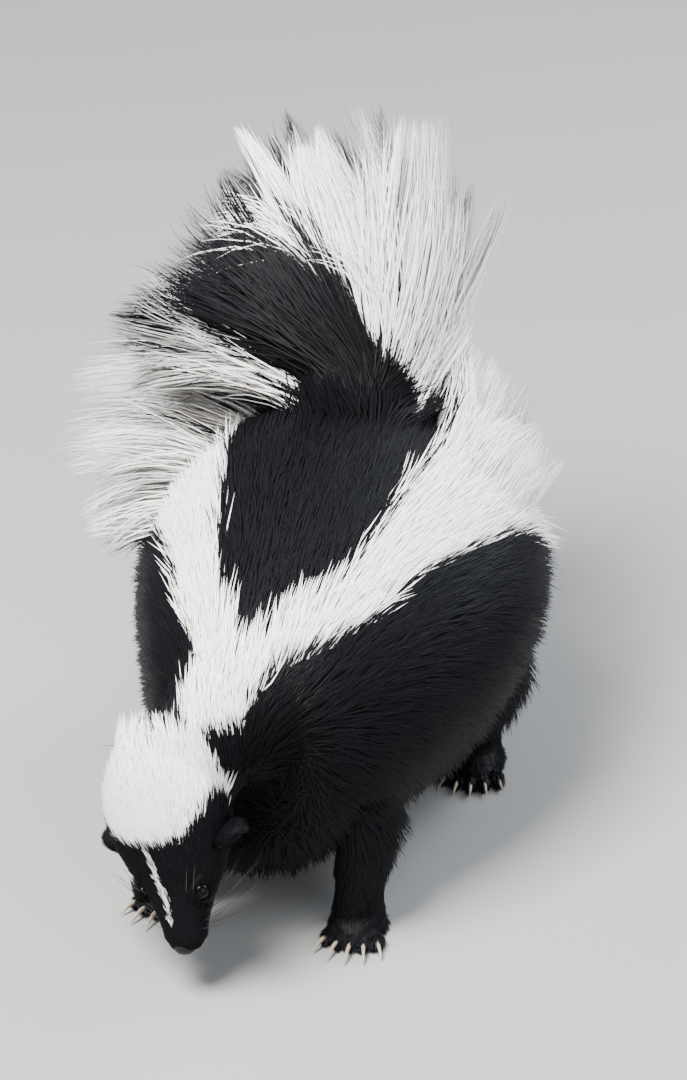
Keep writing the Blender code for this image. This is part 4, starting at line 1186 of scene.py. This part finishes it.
def add_eyes():
    finish = eye_finish()
    for word, side in SIDES:
        out = eye_way(side)
        at = on_head(EYE_AT, side * EYE_OUT, EYE_RISE)
        tall = (HEAD_CROWN - out * HEAD_CROWN.dot(out)).normalized()
        eye = ball(f"eyeball_{word}", at, (tall.cross(out), tall, out), (EYE_RADIUS,) * 3, 40, 24)
        bpy.ops.object.mode_set(mode="EDIT")
        shape = bmesh.from_edit_mesh(eye.data)
        for vertex in shape.verts:
            share = max(0.0, (vertex.co - at).normalized().dot(out) - CORNEA) / (1 - CORNEA)
            vertex.co += out * EYE_RADIUS * CORNEA_RISE * share
        bpy.ops.object.mode_set(mode="OBJECT")
        standing(eye, "eye", finish, f"eye_{word}")


def add_nose():
    """The nose pad, with comma-shaped nostrils and the groove between them."""
    axes = (HEAD_RIGHT, HEAD_FORWARD, HEAD_CROWN)
    wide, deep, high = NOSE_SIZE
    nose = ball("nose_pad", on_head(NOSE_AT, 0, NOSE_RISE), axes, NOSE_SIZE, 56, 40)
    tools = []
    for _, side in SIDES:
        for out, ahead, rise, *shares in NOSTRIL_SHAPES:
            at = on_head(NOSE_AT + deep * ahead, side * wide * out, rise)
            tools.append(ball("nostril", at, axes, [NOSTRIL * share for share in shares]))
    groove = on_head(NOSE_AT + deep * GROOVE_AT[0], 0, -high * GROOVE_AT[1])
    tools.append(ball("groove", groove, axes, (*GROOVE[:2], high * GROOVE[2])))
    cut(nose, tools)
    applied(nose, "REMESH", mode="VOXEL", voxel_size=NOSE_CELL)
    applied(nose, "SMOOTH", iterations=3)
    standing(nose, "nose", nose_finish(), "nose")


def add_mouth(skin):
    standing(tube("mouth_line", mouth_points(skin), MOUTH_LINE), "nose", lip_finish())


def ear_frame(side):
    """(place, across, front, tall) of an ear."""
    lean, face = math.radians(EAR_LEAN), math.radians(EAR_FACE)
    tall = head_way(-EAR_BACK, side * math.sin(lean), math.cos(lean)).normalized()
    out = head_way(0, side * math.cos(lean), -math.sin(lean))
    front = HEAD_FORWARD * math.cos(face) + out * math.sin(face)
    front = (front - tall * front.dot(tall)).normalized()
    return on_head(EAR_AT, side * EAR_OUT, EAR_RISE), front.cross(tall), front, tall


def unwrapped(thing):
    """Gives a mesh the unwrap that its tufts are baked on."""
    only(thing)
    bpy.ops.object.mode_set(mode="EDIT")
    bpy.ops.mesh.select_all(action="SELECT")
    bpy.ops.uv.smart_project(angle_limit=math.radians(66), island_margin=0.002)
    bpy.ops.object.mode_set(mode="OBJECT")
    thing.data.uv_layers[0].name = "OFBake"
    return thing


def ear_lie(front, tall):
    """The lie of an ear's hair, up and back over it, as a function of its roots."""
    way = np.array(tall * EAR_WAY[0] - front * EAR_WAY[1] - HEAD_FORWARD * EAR_WAY[2])

    def lie(roots):
        count = len(roots)
        return np.tile(way, (count, 1)), np.full(count, EAR_LIE[0]), np.full(count, EAR_LIE[1])

    return lie


def unmarked(points):
    """Black at every point."""
    return np.zeros(len(points), bool)


def add_ears(fur):
    """Short rounded ears: thick-rimmed bowls, haired outside and more thinly in the cup."""
    finish = ear_finish()
    for word, side in SIDES:
        at, across, front, tall = ear_frame(side)
        axes = (across, front, tall)
        outer = [size - EAR_INSET for size in EAR_SIZE]
        inner = [size - EAR_HOLLOW for size in EAR_SIZE]
        ear = ball(f"ear_cup_{word}", at, axes, outer, 48, 32)
        cut(ear, [ball("hollow", at + front * EAR_SIZE[1] * EAR_DEEP, axes, inner, 40, 28)])
        applied(ear, "REMESH", mode="VOXEL", voxel_size=EAR_CELL)
        applied(ear, "SMOOTH", iterations=4)
        unwrapped(ear)
        surface = Surface(ear)
        inside = (surface.outward.mean(1) @ np.array(front)) > EAR_CUP
        grown = surface.spread(np.where(inside, *EAR_HAIRS))
        short_coat(f"coat_ear_{word}", *grown, fur, *EAR_HAIR, ear_lie(front, tall), unmarked, "ear")
        standing(ear, "ear", finish, f"ear_{word}")


def claw(root, way, length):
    """A curved tapered claw."""
    side = way.cross(UP).normalized()
    sections = []
    for t, share in CLAW_SHAPE:
        centre = root + way * length * t + UP * (CLAW_LIFT - CLAW_BEND * t * t) * length * (t > 0)
        sizes = [CLAW_RADIUS * share * part for part in CLAW_SECTION]
        sections.append(section(centre, side, side.cross(way), *sizes))
    return loft("claw", sections, 10)


def add_claws():
    finish = claw_finish()
    for word, side in SIDES:
        for name, sizes in (("forepaw", FOREPAW), ("hind_paw", HIND_PAW)):
            claws = []
            for base, way, out in toe_places(sizes, side):
                length = sizes[7] * (1 - OUTER_CLAW * out * out)
                claws.append(claw(base + way * TOE_RADIUS * CLAW_AT + UP * CLAW_HEIGHT, way, length))
            standing(joined(claws, f"claws_{name}_{word}"), "claw", finish)


# (along, out, rise) of a whisker's root, its direction, its length
WHISKERS = (
    ((0.0780, 0.0095, -0.0010), (-0.10, 0.95, -0.15), 0.026),
    ((0.0765, 0.0100, -0.0030), (-0.15, 0.93, -0.30), 0.030),
    ((0.0745, 0.0105, -0.0012), (-0.25, 0.95, -0.05), 0.034),
    ((0.0730, 0.0108, -0.0034), (-0.30, 0.92, -0.28), 0.036),
    ((0.0710, 0.0115, -0.0016), (-0.42, 0.90, -0.02), 0.038),
    ((0.0695, 0.0118, -0.0040), (-0.45, 0.85, -0.25), 0.034),
    ((0.0675, 0.0125, -0.0020), (-0.55, 0.82, 0.05), 0.030),
    ((0.0620, 0.0120, 0.0085), (-0.45, 0.60, 0.60), 0.020),
    ((0.0600, 0.0135, 0.0095), (-0.60, 0.60, 0.50), 0.018),
    ((0.0790, 0.0040, -0.0095), (-0.30, 0.35, -0.85), 0.014),
)
WHISKER_PLACES = (0, 0.25, 0.5, 0.75, 1)  # of the rings and the tip
WHISKER_SHAPE = (1.0, 0.9, 0.7, 0.45)  # share of its width at the rings
WHISKER_WIDTH = 0.00032
WHISKER_ROOT = 0.0005
WHISKER_BEND = (0.22, 0.10)  # how far it bends back and down, as shares of its length


def add_whiskers(skin):
    finish = whisker_finish()
    back, down = WHISKER_BEND
    for word, side in SIDES:
        spines, outs = [], []
        for (along, out, rise), way, length in WHISKERS:
            _, root, outward, _ = skin.closest_point_on_mesh(on_head(along, out * side, rise))
            way = head_way(way[0], way[1] * side, way[2]).normalized()
            bend = (-HEAD_FORWARD * back - HEAD_CROWN * down) * length
            base = root - outward * WHISKER_ROOT
            spines.append([base + way * length * t + bend * t * t for t in WHISKER_PLACES])
            outs.append(outward)
        count = len(spines)
        widths = np.tile(np.array(WHISKER_SHAPE) * WHISKER_WIDTH, (count, 1))
        fields = {"white": np.zeros(count), "shade": np.zeros(count)}
        unwrap = np.full((count, 2), 0.5)
        spines, outs = np.array(spines), np.array(outs)
        tufts(f"whiskers_{word}", spines, outs, widths, widths, fields, unwrap, finish)


# Camera, light and floor

VIEW_TURN, VIEW_RISE, VIEW_AWAY, VIEW_LENS = 17.0, 29.0, 2.0, 146.0  # degrees, metres, millimetres
VIEW_CLIPS = (0.05, 30)
FOOT = (0.040, -0.062, 0.0)  # the left forefoot, and where it stands in the picture, in pixels
FOOT_PIXEL = (345.0, 915.0)
PICTURE = (687, 1080)
# (name, turn, rise, distance, size, power, colour)
LIGHTS = (
    ("key", 330, 62, 1.7, 0.8, 130, (1.0, 0.98, 0.95)),
    ("fill", 55, 35, 2.0, 1.6, 22, (0.94, 0.97, 1.0)),
    ("rim", 140, 35, 1.8, 0.8, 34, (0.90, 0.95, 1.0)),
)
LIGHT_AIM = 0.12  # height that they face
SKY, SKY_STRENGTH = (0.90, 0.94, 1.0, 1), 0.55
FLOOR_SIZE = 12


def looking_back(turn, rise):
    a, e = math.radians(turn), math.radians(rise)
    return Vector((math.sin(a) * math.cos(e), -math.cos(a) * math.cos(e), math.sin(e)))


def add_camera():
    back = looking_back(VIEW_TURN, VIEW_RISE)
    right = Vector((math.cos(math.radians(VIEW_TURN)), math.sin(math.radians(VIEW_TURN)), 0))
    up = back.cross(right)
    bpy.ops.object.camera_add()
    camera = bpy.context.object
    camera.name = "camera"
    pixels = VIEW_LENS / camera.data.sensor_width * PICTURE[1]
    across = (FOOT_PIXEL[0] - PICTURE[0] / 2) / pixels * VIEW_AWAY
    above = (PICTURE[1] / 2 - FOOT_PIXEL[1]) / pixels * VIEW_AWAY
    camera.location = Vector(FOOT) + SHIFT - right * across - up * above + back * VIEW_AWAY
    camera.rotation_mode = "QUATERNION"
    camera.rotation_quaternion = (-back).to_track_quat("-Z", "Y")
    camera.data.lens = VIEW_LENS
    camera.data.clip_start, camera.data.clip_end = VIEW_CLIPS
    bpy.context.scene.camera = camera


def add_light(name, turn, rise, away, size, power, colour):
    """A soft square light that faces the skunk."""
    back = looking_back(turn, rise)
    bpy.ops.object.light_add(type="AREA", location=UP * LIGHT_AIM + back * away)
    light = bpy.context.object
    light.name = name
    light.rotation_euler = (-back).to_track_quat("-Z", "Y").to_euler()
    light.data.size = size
    light.data.energy = power
    light.data.color = colour


def add_world():
    world = bpy.data.worlds.new("studio")
    world.use_nodes = True
    inputs = world.node_tree.nodes["Background"].inputs
    inputs["Color"].default_value, inputs["Strength"].default_value = SKY, SKY_STRENGTH
    bpy.context.scene.world = world


def add_floor():
    bpy.ops.mesh.primitive_plane_add(size=FLOOR_SIZE)
    floor = taken("floor")
    floor.data.materials.append(grained("floor", 2.0, 3, shade(0.29), shade(0.31), Roughness=0.85))


def main():
    deselect()
    skin = unwrapped(blended_skin())
    add_field(skin.data, "white", marked(coordinates(skin.data)).astype(float))
    fur = fur_finish()
    dress(skin, fur)
    add_eyes()
    add_nose()
    add_mouth(skin)
    add_ears(fur)
    add_claws()
    add_whiskers(skin)
    limbs = [f"{name}_{word}" for name in LIMBS for word, _ in SIDES]
    standing(skin, "coat", skin_finish(), "torso", "neck", "head", "tail", *limbs)
    add_camera()
    add_world()
    for light in LIGHTS:
        add_light(*light)
    add_floor()


main()
